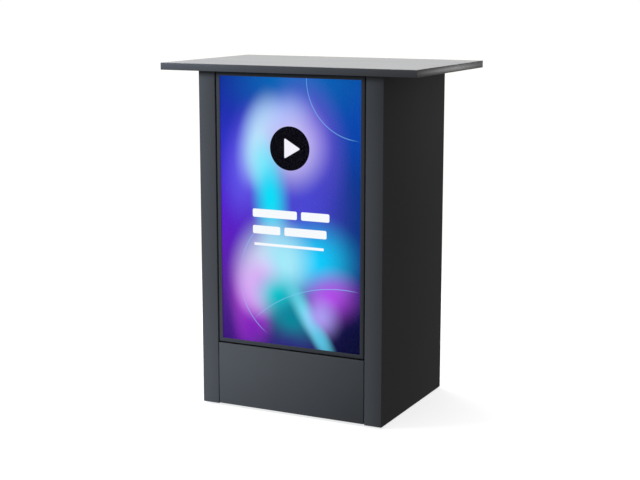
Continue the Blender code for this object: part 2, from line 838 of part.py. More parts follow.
def make_feet():
    """Each levelling foot is a rubber-soled pad on a spindle that screws through a fixed nut."""
    seat_radius, seat_height, collar_radius = 0.0063, 0.0022, 0.006
    neck_radius, shoulder_height, sole_edge, rim = 0.011, 0.0035, 0.002, 0.0015
    chamfer, nut_radius = 0.0008, 0.0075
    for place, (x, y) in FOOT_PLACES.items():
        pad_profile = (
            (0.0, seat_height),
            (seat_radius, seat_height),
            (seat_radius, FOOT_HEIGHT),
            (neck_radius, FOOT_HEIGHT),
            (FOOT_RADIUS - rim, shoulder_height),
            (FOOT_RADIUS, sole_edge),
            (FOOT_RADIUS, 0.0),
            (0.0, 0.0),
        )
        pad = turned(f"foot_pad_{place}", pad_profile, "rubber", (x, y, 0.0))
        spindle_profile = (
            (0.0, SPINDLE_TOP),
            (SPINDLE_RADIUS - chamfer, SPINDLE_TOP),
            (SPINDLE_RADIUS, SPINDLE_TOP - chamfer),
            (SPINDLE_RADIUS, FOOT_HEIGHT - GAP),
            (collar_radius, FOOT_HEIGHT - 2 * GAP),
            (collar_radius, seat_height + GAP),
            (0.0, seat_height + GAP),
        )
        spindle = turned(
            f"foot_spindle_{place}", spindle_profile, "zinc_steel", (x, y, 0.0), steps=24
        )
        parent_to([pad, spindle], empty_on_axis(f"foot_axis_{place}", (x, y, 0.0)))
        hex_nut(
            f"foot_nut_{place}",
            nut_radius,
            NUT_HEIGHT,
            SPINDLE_RADIUS + GAP,
            (x, y, FLOOR_TOP),
        )


def inlet_box(left, right, height, front, back):
    """A box in the inlet: its sides are from the inlet's middle, and it is centred on its height."""
    low = (INLET_X + left, front, INLET_Z - height / 2)
    return low, (INLET_X + right, back, INLET_Z + height / 2)


def inlet_boxes():
    """The mains inlet's face plate and body, its connector recess and its switch recess."""
    plate_side, plate_height, plate = 0.036, 0.034, 0.0025
    body_side, body_height = 0.031, 0.026
    socket_left, socket_right, socket_height, socket_depth = -0.0248, -0.0002, 0.0166, 0.017
    switch_left, switch_right, switch_height, switch_depth = 0.012, 0.026, 0.021, 0.007
    back = BODY_BACK + GAP
    face = back + plate
    outside = face + plate
    body_front, body_back = BODY_BACK - INLET_DEPTH, face - plate / 2
    socket_floor, switch_floor = face - socket_depth, BODY_BACK - switch_depth
    return {
        "plate": inlet_box(-plate_side, plate_side, plate_height, back, face),
        "body": inlet_box(-body_side, body_side, body_height, body_front, body_back),
        "socket": inlet_box(socket_left, socket_right, socket_height, socket_floor, outside),
        "switch": inlet_box(switch_left, switch_right, switch_height, switch_floor, outside),
    }


def inlet_cutter():
    low, high = (Vector(corner) for corner in inlet_boxes()["body"])
    room = Vector((2 * GAP, 0.0, 2 * GAP))
    return box_helper("inlet_hole", low - room, high + room + Vector((0.0, PANEL_RETURN, 0.0)))


def make_inlet():
    boxes = inlet_boxes()
    inlet = solid_box("power_inlet", *boxes["plate"], "black_plastic", 0.001, segments=1)
    boolean(inlet, box_helper("inlet_body", *boxes["body"]), "UNION")
    boolean(inlet, box_helper("inlet_socket", *boxes["socket"]))
    boolean(inlet, box_helper("inlet_switch_recess", *boxes["switch"]))
    switch_low, switch_high = (Vector(corner) for corner in boxes["switch"])
    pivot = Vector(((switch_low.x + switch_high.x) / 2, BODY_BACK + GAP, INLET_Z))
    half_height, inner, outer, valley, width = 0.0095, -0.004, 0.0035, 0.0012, 0.013
    outline = (
        (-half_height, inner),
        (half_height, inner),
        (half_height, outer),
        (0.0, valley),
        (-half_height, outer),
    )
    upright = Matrix(((0, 0, 1), (0, 1, 0), (1, 0, 0)))
    turn = (Matrix.Rotation(ROCKER_TILT, 3, "X") @ upright).to_euler()
    rocker = flat_outline("inlet_switch", outline, width, "black_plastic", pivot, turn)
    parent_to([rocker], empty_on_axis("switch_axis", pivot))


def make_player():
    """The media player in its side-gripping bracket, with its power button."""
    grip, overlap = 0.024, 0.010
    bracket_side = PLAYER_SIDE + GAP + SHEET
    folded_box(
        "player_bracket",
        (-bracket_side, MOUNT_BACK + GAP, PLAYER_BOTTOM - overlap),
        (bracket_side, PLAYER_FRONT + grip, PLAYER_TOP + overlap),
        ("+Y", "-Z", "+Z"),
        "zinc_steel",
    )
    case = solid_box(
        "player_case",
        (-PLAYER_SIDE, PLAYER_FRONT, PLAYER_BOTTOM),
        (PLAYER_SIDE, PLAYER_BACK, PLAYER_TOP),
        "black_plastic",
        0.002,
    )
    place = Vector((PLAYER_SIDE - BUTTON_INSET, PLAYER_BACK, PLAYER_BOTTOM + BUTTON_RISE))
    well_depth, button_depth, proud, chamfer = 0.0055, 0.0038, 0.0016, 0.0006
    reach = Vector((0.0, well_depth, 0.0))
    well = cylinder_helper(
        "button_well",
        BUTTON_RADIUS + GAP,
        place - reach,
        place + reach,
        sides=24,
    )
    boolean(case, well)
    profile = (
        (0.0, proud),
        (BUTTON_RADIUS - chamfer, proud),
        (BUTTON_RADIUS, proud - chamfer),
        (BUTTON_RADIUS, -button_depth),
        (0.0, -button_depth),
    )
    button = turned("player_button", profile, "nickel", place, steps=24, lay_along_y=True)
    parent_to([button], empty_on_axis("button_axis", place))


def make_power_block():
    solid_box(
        "power_block",
        (BLOCK_LEFT, BLOCK_FRONT, FLOOR_TOP),
        (BLOCK_RIGHT, BLOCK_FRONT + BLOCK_DEPTH, BLOCK_TOP),
        "black_plastic",
        0.003,
    )


def smooth_route(points, spacing):
    """Evenly spaced points on a Catmull-Rom curve through a route whose two end stretches are straight."""
    dense = []
    steps = 24
    for before, start, end, after in zip(points, points[1:], points[2:], points[3:]):
        for step in range(steps):
            t = step / steps
            linear = (end - before) * t
            square = (before * 2 - start * 5 + end * 4 - after) * t**2
            cube = (start * 3 - before - end * 3 + after) * t**3
            dense.append((start * 2 + linear + square + cube) / 2)
    kept = [points[0], points[1]]
    travelled = 0.0
    for first, second in zip(dense, dense[1:]):
        travelled += (second - first).length
        if travelled >= spacing and (second - points[-2]).length > spacing / 2:
            kept.append(second)
            travelled = 0.0
    return [*kept, points[-2], points[-1]]


def make_lead(name, route, radius):
    curve = bpy.data.curves.new(name, "CURVE")
    curve.dimensions = "3D"
    curve.bevel_depth = radius
    curve.bevel_resolution = 2
    curve.use_fill_caps = True
    spline = curve.splines.new("POLY")
    points = smooth_route([Vector(point) for point in route], 5.0 * radius)
    spline.points.add(len(points) - 1)
    for point, place in zip(spline.points, points):
        point.co = (*place, 1.0)
    return finish_part(bpy.data.objects.new(name, curve), name, "cable_jacket")


def make_mains_lead():
    """From the inlet down to the cabinet floor, along its side, and into the end of the power block."""
    x, z = FLOOR_LEAD_X, FLOOR_TOP + LEAD_RADIUS + GAP
    start = Vector((INLET_X, BODY_BACK - INLET_DEPTH - 2 * GAP, INLET_Z))
    entry = Vector((BLOCK_LEFT - GAP, BLOCK_MIDDLE, z + 0.010))
    straight = 0.080
    route = (
        start,
        start + Vector((0.0, -0.020, 0.0)),
        start + Vector((-0.022, -0.055, -0.016)),
        (INLET_X - 0.065, start.y - 0.100, z + 0.002),
        (x, straight + 0.030, z),
        (x, straight, z),
        (x, -straight, z),
        (x, -straight - 0.030, z),
        (x + 0.002, -straight - 0.075, z + 0.001),
        (x + 0.017, -straight - 0.110, z + 0.006),
        entry + Vector((-0.0217, 0.001, 0.0)),
        entry,
    )
    make_lead("mains_lead", route, LEAD_RADIUS)


def make_cable_clips():
    """Clips that hold the mains lead down on the cabinet floor."""
    half_width, half_length, height, reach = 0.009, 0.006, 0.0125, 0.020
    x, z, hold = FLOOR_LEAD_X, FLOOR_TOP + LEAD_RADIUS + GAP, LEAD_RADIUS + 3 * GAP
    for number, y in enumerate(CLIP_PLACES, start=1):
        clip = solid_box(
            f"cable_clip_{number}",
            (x - half_width, y - half_length, FLOOR_TOP),
            (x + half_width, y + half_length, FLOOR_TOP + height),
            "black_plastic",
            0.0015,
        )
        channel = cylinder_helper(
            f"clip_channel_{number}",
            hold,
            (x, y - reach, z),
            (x, y + reach, z),
            sides=24,
        )
        boolean(clip, channel)
        mouth = box_helper(
            f"clip_mouth_{number}",
            (x - hold, y - reach, 0.0),
            (x + hold, y + reach, z),
        )
        boolean(clip, mouth)


def make_display_lead():
    """From the power block's top up into the bottom of the display's cover."""
    x, entry_y, entry_z = DISPLAY_LEAD_X, COVER_BACK - 0.009, COVER_BOTTOM - GAP
    start = Vector((x + 0.010, BLOCK_MIDDLE, BLOCK_TOP + GAP))
    route = (
        start,
        (start.x, start.y, BLOCK_TOP + 0.030),
        (x + 0.008, start.y - 0.004, BLOCK_TOP + 0.080),
        (x + 0.002, start.y - 0.008, BLOCK_TOP + 0.130),
        (x, entry_y, entry_z - 0.065),
        (x, entry_y, entry_z - 0.030),
        (x, entry_y, entry_z),
    )
    make_lead("display_lead", route, LEAD_RADIUS)


def make_player_leads():
    """The player's power lead, up behind the display, and its video lead to the display."""
    behind_cover = COVER_BACK + 0.010
    player_y = PLAYER_FRONT + 0.016
    x = PLAYER_LEAD_X
    power_route = (
        (x - 0.005, BLOCK_MIDDLE, BLOCK_TOP + GAP),
        (x - 0.005, BLOCK_MIDDLE, BLOCK_TOP + 0.040),
        (x - 0.003, BLOCK_MIDDLE + 0.006, BLOCK_TOP + 0.120),
        (x, behind_cover, PLAYER_BOTTOM - 0.400),
        (x, behind_cover, PLAYER_BOTTOM - 0.310),
        (x, behind_cover, PLAYER_BOTTOM - 0.210),
        (x, behind_cover, PLAYER_BOTTOM - 0.130),
        (x, behind_cover + 0.010, PLAYER_BOTTOM - 0.085),
        (x, player_y - 0.006, PLAYER_BOTTOM - 0.050),
        (x, player_y, PLAYER_BOTTOM - 0.025),
        (x, player_y, PLAYER_BOTTOM - GAP),
    )
    make_lead("player_lead", power_route, SIGNAL_LEAD_RADIUS)
    x, top = VIDEO_LEAD_X, VIDEO_LEAD_TOP
    video_route = (
        (x, player_y, PLAYER_TOP + GAP),
        (x, player_y, PLAYER_TOP + 0.022),
        (x, player_y - 0.004, PLAYER_TOP + 0.046),
        (x, player_y - 0.014, top - 0.011),
        (x, behind_cover + 0.006, top),
        (x, behind_cover, top),
        (x, COVER_BACK + 2 * GAP, top),
    )
    make_lead("video_lead", video_route, SIGNAL_LEAD_RADIUS)


clear_scene()
PARTS = new_collection(OBJECT_NAME)
CUTTERS = new_collection("cutters", hidden=True)
MATERIALS = {name: new_material(name, *values) for name, values in FINISHES.items()}
ROUND_SHADING = round_shading_group()
make_counter_top()
make_casings()
make_base_pan()
make_frame()
make_display()
make_display_electronics()
make_door()
make_feet()
make_inlet()
make_player()
make_power_block()
make_mains_lead()
make_cable_clips()
make_display_lead()
make_player_leads()
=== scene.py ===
"""The looks of a free-standing touchscreen kiosk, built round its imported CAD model.

Metres, +Z up, and the front faces -Y. Each piece's place is worked out from the CAD nodes' boxes.
"""

from math import cos, pi, radians, sin, tau

import bmesh
import bpy
from mathutils import Matrix, Vector


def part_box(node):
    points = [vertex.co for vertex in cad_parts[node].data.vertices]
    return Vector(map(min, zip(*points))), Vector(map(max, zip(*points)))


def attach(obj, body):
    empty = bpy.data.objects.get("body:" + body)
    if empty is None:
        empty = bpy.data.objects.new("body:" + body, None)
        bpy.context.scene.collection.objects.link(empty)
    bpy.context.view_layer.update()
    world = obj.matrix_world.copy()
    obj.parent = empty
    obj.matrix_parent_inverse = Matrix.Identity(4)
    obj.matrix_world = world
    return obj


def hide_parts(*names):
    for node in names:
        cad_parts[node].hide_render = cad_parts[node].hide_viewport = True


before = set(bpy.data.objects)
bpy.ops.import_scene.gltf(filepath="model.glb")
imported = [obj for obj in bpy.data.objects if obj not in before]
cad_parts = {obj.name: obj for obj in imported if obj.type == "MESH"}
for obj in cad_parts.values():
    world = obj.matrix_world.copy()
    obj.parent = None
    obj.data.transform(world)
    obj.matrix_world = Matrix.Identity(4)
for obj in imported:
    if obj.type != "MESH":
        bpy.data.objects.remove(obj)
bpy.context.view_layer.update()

# Camera
CAMERA_PLACE = (2.156, -4.417, 1.506)
CAMERA_AZIMUTH = radians(26.18)
CAMERA_PITCH = radians(10.57)
LENS_MM = 76.91
SENSOR_MM = 36.0
SIGHT_END = 100.0

# Studio
AMBIENT = 0.29
BACKDROP = 1.05
BACKDROP_TINT = (1.0, 0.985, 0.955, 1.0)
FLOOR_RADIUS = 3.2
FLOOR_FADE = (1.6, 3.0)
FLOOR_GLOW = 0.76
WHITE = (1.0, 1.0, 1.0)
COOL = (0.80, 0.90, 1.0)

# Lights: name, place, target, width and height, watts, colour, whether glass mirrors the light, and
# whether it lights matt surfaces
LIGHTS = (
    ("overhead", (0.0, 0.0, 4.2), (0.0, 0.0, 0.65), (2.4, 2.4), 190.0, WHITE, True, True),
    ("key_left", (-1.35, -1.25, 1.62), (-0.33, -0.27, 1.12), (0.7, 0.5), 45.0, COOL, False, True),
    ("low_left", (-0.45, -0.95, 0.09), (-0.12, -0.27, 0.0), (1.0, 0.14), 6.0, COOL, False, True),
    ("back_panel", (-2.6, 5.0, 2.9), (0.0, 0.0, 1.23), (6.0, 3.4), 61.0, WHITE, True, True),
    ("rear_key", (-2.4, 2.2, 1.7), (0.0, 0.28, 0.6), (1.6, 1.6), 70.0, WHITE, False, True),
    ("edge_glint", (2.2, 3.4, 1.0), (0.487, 0.1, 1.22), (2.0, 0.5), 8.0, WHITE, True, False),
)

# A Mix node's colour sockets, by number because other sockets share their names
MIX_INPUTS = (0, 6, 7)
MIX_RESULT = 2

# How alike a surface's normal and its softened normal are on an edge that gets a painted highlight, and on
# a flat
HIGHLIGHT_EDGE_FACING = (0.75, 0.98)

# A face looks down or to the front if its normal's part along Z or Y is below this
FACE_LIMIT = -0.5

# Base colours
COAT = (0.050, 0.0515, 0.055, 1.0)
BEZEL_COAT = (0.032, 0.034, 0.039, 1.0)
SHEET_WHITE = (0.82, 0.83, 0.85, 1.0)
SHEET_SPOTS = (0.86, 0.87, 0.89, 1.0)
BOARD_GREEN = (0.02, 0.14, 0.06, 1.0)
SOLDER = (0.45, 0.42, 0.30, 1.0)
PLASTIC = (0.020, 0.020, 0.022, 1.0)
JACKET = (0.018, 0.018, 0.020, 1.0)

# The bezel's border round its window, and how far the screen's lit area reaches behind it
WINDOW_BORDER = 0.0142
LIT_MARGIN = 0.002

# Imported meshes: corners this close are one, and edges sharper than this stay sharp
WELD = 0.000005
FOLD_ANGLE = radians(48)

# Detail pieces
CREASE_ANGLE = radians(40)
SIDES = 24
CORNER_STEPS = 4
SUNK = 0.0001

# Three contacts of a mains socket, across and along from its middle
CONTACT_SPOTS = ((-0.007, -0.002), (0.0, 0.002), (0.007, -0.002))

# Radius of the mains and display leads, and of the player and video leads
THICK_LEAD = 0.004
THIN_LEAD = 0.003

# Levelling spindles
SPINDLE_RADIUS = 0.004
THREAD_PITCH = 0.00125
THREAD_DEPTH = 0.0007
STEPS_PER_TURN = 5
COLLAR_HEIGHT = 0.0029
COLLAR_EDGE = 0.0004

# Directions
BACK = Vector((0.0, 1.0, 0.0))
FRONT = Vector((0.0, -1.0, 0.0))
LEFT = Vector((-1.0, 0.0, 0.0))
UP = Vector((0.0, 0.0, 1.0))
DOWN = Vector((0.0, 0.0, -1.0))


def srgb(red, green, blue, alpha=1.0):
    """A colour as seen on screen, from 0 to 255, in the linear values that nodes take."""
    linear = []
    for level in (red, green, blue):
        share = level / 255
        linear.append(share / 12.92 if share <= 0.04045 else ((share + 0.055) / 1.055) ** 2.4)
    return (*linear, alpha)


def scaled(colour, factor):
    """The colour made lighter or darker by this factor."""
    return (*(factor * part for part in colour[:3]), 1.0)


# ---------------------------------------------------------------- camera, stage and lights


def make_camera():
    data = bpy.data.cameras.new("camera")
    data.sensor_width = SENSOR_MM
    data.lens = LENS_MM
    data.clip_end = SIGHT_END
    camera = bpy.data.objects.new("camera", data)
    camera.location = CAMERA_PLACE
    level = cos(CAMERA_PITCH)
    ahead = Vector((-sin(CAMERA_AZIMUTH) * level, cos(CAMERA_AZIMUTH) * level, -sin(CAMERA_PITCH)))
    camera.rotation_euler = ahead.to_track_quat("-Z", "Y").to_euler()
    bpy.context.scene.collection.objects.link(camera)
    bpy.context.scene.camera = camera


def make_world():
    """A white backdrop, with a dimmer light on the object."""
    world = bpy.data.worlds.new("studio")
    world.use_nodes = True
    nodes, links = world.node_tree.nodes, world.node_tree.links
    seen = nodes.new("ShaderNodeLightPath").outputs["Is Camera Ray"]
    strength = nodes.new("ShaderNodeMapRange")
    strength.inputs["To Min"].default_value = AMBIENT
    strength.inputs["To Max"].default_value = BACKDROP
    links.new(seen, strength.inputs["Value"])
    background = nodes["Background"]
    background.inputs["Color"].default_value = BACKDROP_TINT
    links.new(strength.outputs["Result"], background.inputs["Strength"])
    bpy.context.scene.world = world


def area_light(name, place, target, size, watts, colour, mirrored, diffuse):
    """A soft rectangular light. One that isn't mirrored leaves no shape in the glass."""
    data = bpy.data.lights.new(name, "AREA")
    data.shape = "RECTANGLE"
    data.size, data.size_y = size
    data.energy = watts
    data.color = colour
    light = bpy.data.objects.new(name, data)
    light.location = place
    light.rotation_euler = (Vector(target) - Vector(place)).to_track_quat("-Z", "Y").to_euler()
    light.visible_camera = False
    light.visible_glossy = mirrored
    light.visible_transmission = mirrored
    light.visible_diffuse = diffuse
    bpy.context.scene.collection.objects.link(light)


def make_lights():
    for light in LIGHTS:
        area_light(*light)


def make_floor():
    """A pale round floor that fades out into the backdrop."""
    mesh = bmesh.new()
    bmesh.ops.create_circle(mesh, cap_ends=True, segments=128, radius=FLOOR_RADIUS)
    data = bpy.data.meshes.new("floor")
    mesh.to_mesh(data)
    mesh.free()
    floor = bpy.data.objects.new("floor", data)
    bpy.context.scene.collection.objects.link(floor)
    paint = Paint("floor_paint", {"Roughness": 0.9, "Specular IOR Level": 0.1})
    cloud = paint.noise(size=0.6, detail=3.0)
    darker, lighter = (0.27, 0.27, 0.27, 1.0), (0.29, 0.29, 0.29, 1.0)
    paint.set("Base Color", paint.between(cloud, darker, lighter))
    paint.set("Emission Color", (*WHITE, 1.0))
    paint.set("Emission Strength", FLOOR_GLOW)
    fade = paint.ranged(paint.length(paint.place), 0.0, 1.0, *FLOOR_FADE, smooth=True)
    clear = paint.node("BsdfTransparent").outputs[0]
    mixed = paint.node("MixShader", [fade, paint.shader.outputs[0], clear]).outputs[0]
    paint.links.new(mixed, paint.nodes["Material Output"].inputs["Surface"])
    floor.data.materials.append(paint.material)
    floor.visible_diffuse = False
    floor.visible_glossy = False
    floor.visible_transmission = False


# ---------------------------------------------------------------- material builder


class Paint:
    """One procedural material: nodes that feed its Principled shader."""

    def __init__(self, name, values):
        self.material = bpy.data.materials.new(name)
        self.material.use_nodes = True
        self.nodes = self.material.node_tree.nodes
        self.links = self.material.node_tree.links
        self.shader = self.nodes["Principled BSDF"]
        for socket, value in values.items():
            self.set(socket, value)
        self.coordinates = self.nodes.new("ShaderNodeTexCoord").outputs
        self.place = self.coordinates["Object"]

    def feed(self, socket, value):
        """Links a socket to another, or sets its value."""
        if isinstance(value, bpy.types.NodeSocket):
            self.links.new(value, socket)
        elif value is not None:
            socket.default_value = value

    def set(self, socket, value):
        self.feed(self.shader.inputs[socket], value)

    def node(self, kind, inputs=(), **settings):
        """A node, its inputs given in order as a list or by name as a dict, as values or sockets."""
        made = self.nodes.new("ShaderNode" + kind)
        for setting, value in settings.items():
            setattr(made, setting, value)
        pairs = inputs.items() if isinstance(inputs, dict) else enumerate(inputs)
        for key, value in pairs:
            self.feed(made.inputs[key], value)
        return made

    def math(self, operation, *inputs):
        return self.node("Math", inputs, operation=operation).outputs[0]

    def length(self, vector):
        return self.node("VectorMath", [vector], operation="LENGTH").outputs["Value"]

    def mapped(self, scale, location=(0.0, 0.0, 0.0), rotation=(0.0, 0.0, 0.0), kind="POINT"):
        """The place on the surface, scaled, turned and moved."""
        inputs = {"Vector": self.place, "Location": location, "Rotation": rotation, "Scale": scale}
        return self.node("Mapping", inputs, vector_type=kind).outputs[0]

    def noise(self, size, detail, stretch=(1.0, 1.0, 1.0)):
        """Noise from 0 to 1, in blotches about size metres across, longer where stretch is more."""
        where = self.mapped([1.0 / (size * part) for part in stretch])
        inputs = {"Vector": where, "Scale": 1.0, "Detail": detail}
        return self.node("TexNoise", inputs).outputs[0]

    def cells(self, size, output="Distance"):
        """Cells about size metres across: the distance to their middles, or a colour for each."""
        inputs = {"Vector": self.mapped([1.0 / size] * 3), "Scale": 1.0}
        return self.node("TexVoronoi", inputs).outputs[output]

    def ranged(self, value, low, high, start=0.0, end=1.0, smooth=False):
        """The value carried over from the range start to end to the range low to high."""
        kind = "SMOOTHSTEP" if smooth else "LINEAR"
        inputs = {"Value": value, "From Min": start, "From Max": end, "To Min": low, "To Max": high}
        return self.node("MapRange", inputs, interpolation_type=kind).outputs[0]

    def between(self, share, first, second):
        """The first colour where share is 0, and the second where it is 1."""
        mix = self.node("Mix", data_type="RGBA")
        for key, value in zip(MIX_INPUTS, (share, first, second)):
            self.feed(mix.inputs[key], value)
        return mix.outputs[MIX_RESULT]

    def ramp(self, share, colours):
        """A smooth run through evenly spaced colours."""
        ramp = self.node("ValToRGB", [share])
        bands = ramp.color_ramp
        bands.interpolation = "B_SPLINE"
        while len(bands.elements) < len(colours):
            bands.elements.new(0.5)
        for number, (band, colour) in enumerate(zip(bands.elements, colours)):
            band.position = number / (len(colours) - 1)
            band.color = colour
        return ramp.outputs[0]

    def mottle(self, colour, noise, spread):
        """The colour, darker and lighter by this share as the noise goes."""
        return self.between(noise, scaled(colour, 1.0 - spread), scaled(colour, 1.0 + spread))

    def bump(self, height, depth, strength, under=None):
        """Relief this many metres deep, on top of another relief if one is given."""
        inputs = {"Height": height, "Distance": depth, "Strength": strength, "Normal": under}
        return self.node("Bump", inputs).outputs[0]

    def edge_highlight_mask(self, radius):
        """1 on edges sharper than this radius, 0 on flats: where edges get a painted highlight."""
        soft = self.node("Bevel", {"Radius": radius}, samples=4).outputs[0]
        flat = self.node("NewGeometry").outputs["Normal"]
        alike = self.node("VectorMath", [soft, flat], operation="DOT_PRODUCT").outputs["Value"]
        return self.ranged(alike, 1.0, 0.0, *HIGHLIGHT_EDGE_FACING)


# ---------------------------------------------------------------- materials


def coated_steel(name, colour, roughness, grain, specular):
    """Powder coat: a fine pebbled skin with faint unevenness over larger areas, and a painted highlight
    along its sharp edges.
    """
    paint = Paint(name, {"Specular IOR Level": specular})
    cloud = paint.noise(size=0.22, detail=3.0)
    fine = paint.noise(grain, detail=1.0)
    peel = paint.noise(grain * 4.0, detail=1.0)
    coat = paint.mottle(colour, cloud, spread=0.05)
    coat = paint.between(paint.ranged(fine, 0.0, 0.25), coat, scaled(colour, 1.35))
    # Painted highlight: sharp edges turn towards a paler coat, broken up by noise
    edge = paint.math("MULTIPLY", paint.edge_highlight_mask(radius=0.0012), paint.noise(size=0.02, detail=4.0))
    paint.set("Base Color", paint.between(edge, coat, scaled(colour, 1.9)))
    uneven = paint.math("ADD", paint.ranged(cloud, -0.04, 0.04), paint.ranged(fine, -0.03, 0.03))
    paint.set("Roughness", paint.math("ADD", uneven, roughness))
    pebbles = paint.bump(fine, depth=grain * 0.05, strength=0.6)
    paint.set("Normal", paint.bump(peel, depth=grain * 0.08, strength=0.5, under=pebbles))
    return paint.material


def zinc_steel():
    """Zinc-plated sheet: soft spangle cells and short rolling lines."""
    paint = Paint("zinc_steel_look", {"Metallic": 1.0})
    spangle = paint.cells(size=0.006, output="Color")
    cell = paint.node("SeparateColor", [spangle]).outputs[0]
    lines = paint.noise(size=0.0012, detail=2.0, stretch=(1.0, 1.0, 30.0))
    zinc, bright_zinc = (0.46, 0.47, 0.48, 1.0), (0.62, 0.63, 0.64, 1.0)
    tone = paint.mottle(zinc, cell, spread=0.10)
    paint.set("Base Color", paint.between(paint.ranged(lines, 0.0, 0.3), tone, bright_zinc))
    dull = paint.ranged(cell, 0.34, 0.46)
    paint.set("Roughness", paint.math("ADD", dull, paint.ranged(lines, -0.04, 0.06)))
    paint.set("Normal", paint.bump(lines, depth=0.00003, strength=0.5))
    return paint.material


def laminate():
    """High-pressure laminate: a satin film with a fine pebble and faint wipe marks."""
    paint = Paint("laminate_look", {"Specular IOR Level": 0.5})
    pebble = paint.noise(size=0.0016, detail=2.0)
    wipes = paint.noise(size=0.09, detail=4.0, stretch=(3.0, 1.0, 1.0))
    fleck = paint.cells(size=0.004)
    film, pale_film = (0.060, 0.063, 0.068, 1.0), (0.09, 0.092, 0.096, 1.0)
    tone = paint.mottle(film, wipes, spread=0.06)
    paint.set("Base Color", paint.between(paint.ranged(fleck, 0.12, 0.0), tone, pale_film))
    paint.set("Roughness", paint.ranged(wipes, 0.276, 0.34))
    paint.set("Normal", paint.bump(pebble, depth=0.00006, strength=0.5))
    return paint.material


def edge_band():
    """Moulded edge band, with fine lengthwise extrusion lines and a painted highlight along its rounded
    edges.
    """
    paint = Paint("edge_band_look", {"Specular IOR Level": 0.5})
    colour = (0.046, 0.048, 0.054, 1.0)
    lines = paint.noise(size=0.0009, detail=2.0, stretch=(60.0, 60.0, 1.0))
    cloud = paint.noise(size=0.12, detail=3.0)
    tone = paint.mottle(colour, cloud, spread=0.06)
    # Painted highlight: the band is lighter on its rounded edges
    paint.set("Base Color", paint.between(paint.edge_highlight_mask(radius=0.0009), tone, scaled(colour, 1.5)))
    paint.set("Roughness", paint.ranged(lines, 0.30, 0.36))
    paint.set("Normal", paint.bump(lines, depth=0.00002, strength=0.5))
    return paint.material


def board_core():
    """Chipboard, under a dark balancing foil on its underside."""
    paint = Paint("board_core_look", {"Specular IOR Level": 0.25})
    chip = paint.node("SeparateColor", [paint.cells(size=0.0035, output="Color")]).outputs[0]
    pale, brown = (0.50, 0.37, 0.23, 1.0), (0.27, 0.18, 0.10, 1.0)
    chips = paint.between(chip, brown, pale)
    dust = paint.noise(size=0.0015, detail=3.0)
    dust_colour, foil_colour = (0.40, 0.29, 0.18, 1.0), (0.045, 0.047, 0.052, 1.0)
    raw = paint.between(paint.ranged(dust, 0.0, 0.5), chips, dust_colour)
    upwards = paint.node("SeparateXYZ", [paint.coordinates["Normal"]]).outputs["Z"]
    foiled = paint.math("LESS_THAN", upwards, FACE_LIMIT)
    stains = paint.noise(size=0.05, detail=4.0)
    foil = paint.mottle(foil_colour, stains, spread=0.12)
    paint.set("Base Color", paint.between(foiled, raw, foil))
    paint.set("Roughness", paint.ranged(foiled, 0.85, 0.55))
    paint.set("Normal", paint.bump(chip, depth=0.00012, strength=0.5))
    return paint.material


def cover_glass():
    """Clear touch glass with an anti-reflection surface and the faintest smears."""
    paint = Paint("cover_glass_look", {"Transmission Weight": 1.0, "IOR": 1.16, "Roughness": 0.0})
    smears = paint.noise(size=0.05, detail=5.0, stretch=(1.0, 1.0, 2.5))
    smeared = paint.ranged(smears, 0.0, 1.0, 0.45, 0.8)
    clean, dulled = (0.98, 0.99, 0.99, 1.0), (0.955, 0.965, 0.965, 1.0)
    paint.set("Base Color", paint.between(smeared, clean, dulled))
    return paint.material


def plain_board(name, colour, spots):
    """A sheet or board with a fine pattern of spots."""
    paint = Paint(name, {"Specular IOR Level": 0.4})
    dots = paint.math("LESS_THAN", paint.cells(size=0.005), 0.28)
    cloud = paint.noise(size=0.03, detail=3.0)
    paint.set("Base Color", paint.between(dots, paint.mottle(colour, cloud, spread=0.08), spots))
    paint.set("Roughness", paint.ranged(cloud, 0.4, 0.55))
    return paint.material


def moulded_plastic(name, colour, roughness):
    """Injection-moulded plastic with a spark-eroded grain."""
    paint = Paint(name, {"Specular IOR Level": 0.4})
    grain = paint.noise(size=0.0009, detail=2.0)
    cloud = paint.noise(size=0.04, detail=3.0)
    paint.set("Base Color", paint.mottle(colour, cloud, spread=0.12))
    paint.set("Roughness", paint.math("ADD", paint.ranged(grain, -0.06, 0.06), roughness))
    paint.set("Normal", paint.bump(grain, depth=0.00004, strength=0.5))
    return paint.material


def rubber():
    """Matt rubber, with floor dust on its lowest millimetres."""
    paint = Paint("rubber_look", {"Specular IOR Level": 0.3})
    grain = paint.noise(size=0.0007, detail=2.0)
    height = paint.node("SeparateXYZ", [paint.place]).outputs["Z"]
    near_floor = paint.ranged(height, 0.5, 0.0, 0.0, 0.004)
    dust = paint.math("MULTIPLY", near_floor, paint.noise(size=0.004, detail=4.0))
    black, dust_colour = (0.014, 0.014, 0.014, 1.0), (0.10, 0.095, 0.09, 1.0)
    paint.set("Base Color", paint.between(dust, black, dust_colour))
    paint.set("Roughness", paint.ranged(grain, 0.68, 0.86))
    paint.set("Normal", paint.bump(grain, depth=0.00005, strength=0.6))
    return paint.material


def nickel():
    """Nickel plating, with fine turning lines."""
    paint = Paint("nickel_look", {"Metallic": 1.0})
    lines = paint.noise(size=0.0006, detail=2.0, stretch=(1.0, 12.0, 1.0))
    plating = (0.62, 0.60, 0.57, 1.0)
    paint.set("Base Color", paint.mottle(plating, lines, spread=0.07))
    paint.set("Roughness", paint.ranged(lines, 0.18, 0.26))
    paint.set("Normal", paint.bump(lines, depth=0.00001, strength=0.5))
    return paint.material


def glowing_lamp():
    """A small green power light behind a clouded lens."""
    lens, glow = (0.02, 0.10, 0.03, 1.0), (0.05, 0.85, 0.22, 1.0)
    paint = Paint("status_light_look", {"Roughness": 0.3, "Base Color": lens})
    cloud = paint.noise(size=0.001, detail=1.0)
    paint.set("Emission Color", paint.mottle(glow, cloud, spread=0.15))
    paint.set("Emission Strength", 1.2)
    return paint.material


# ---------------------------------------------------------------- screen picture

# Colours as seen on screen, from 0 to 255
DISC_COLOUR = (4, 3, 12)
PLAY_COLOUR = (246, 244, 255)
BAR_COLOUR = (250, 252, 255)
ARC_COLOUR = (130, 205, 255)

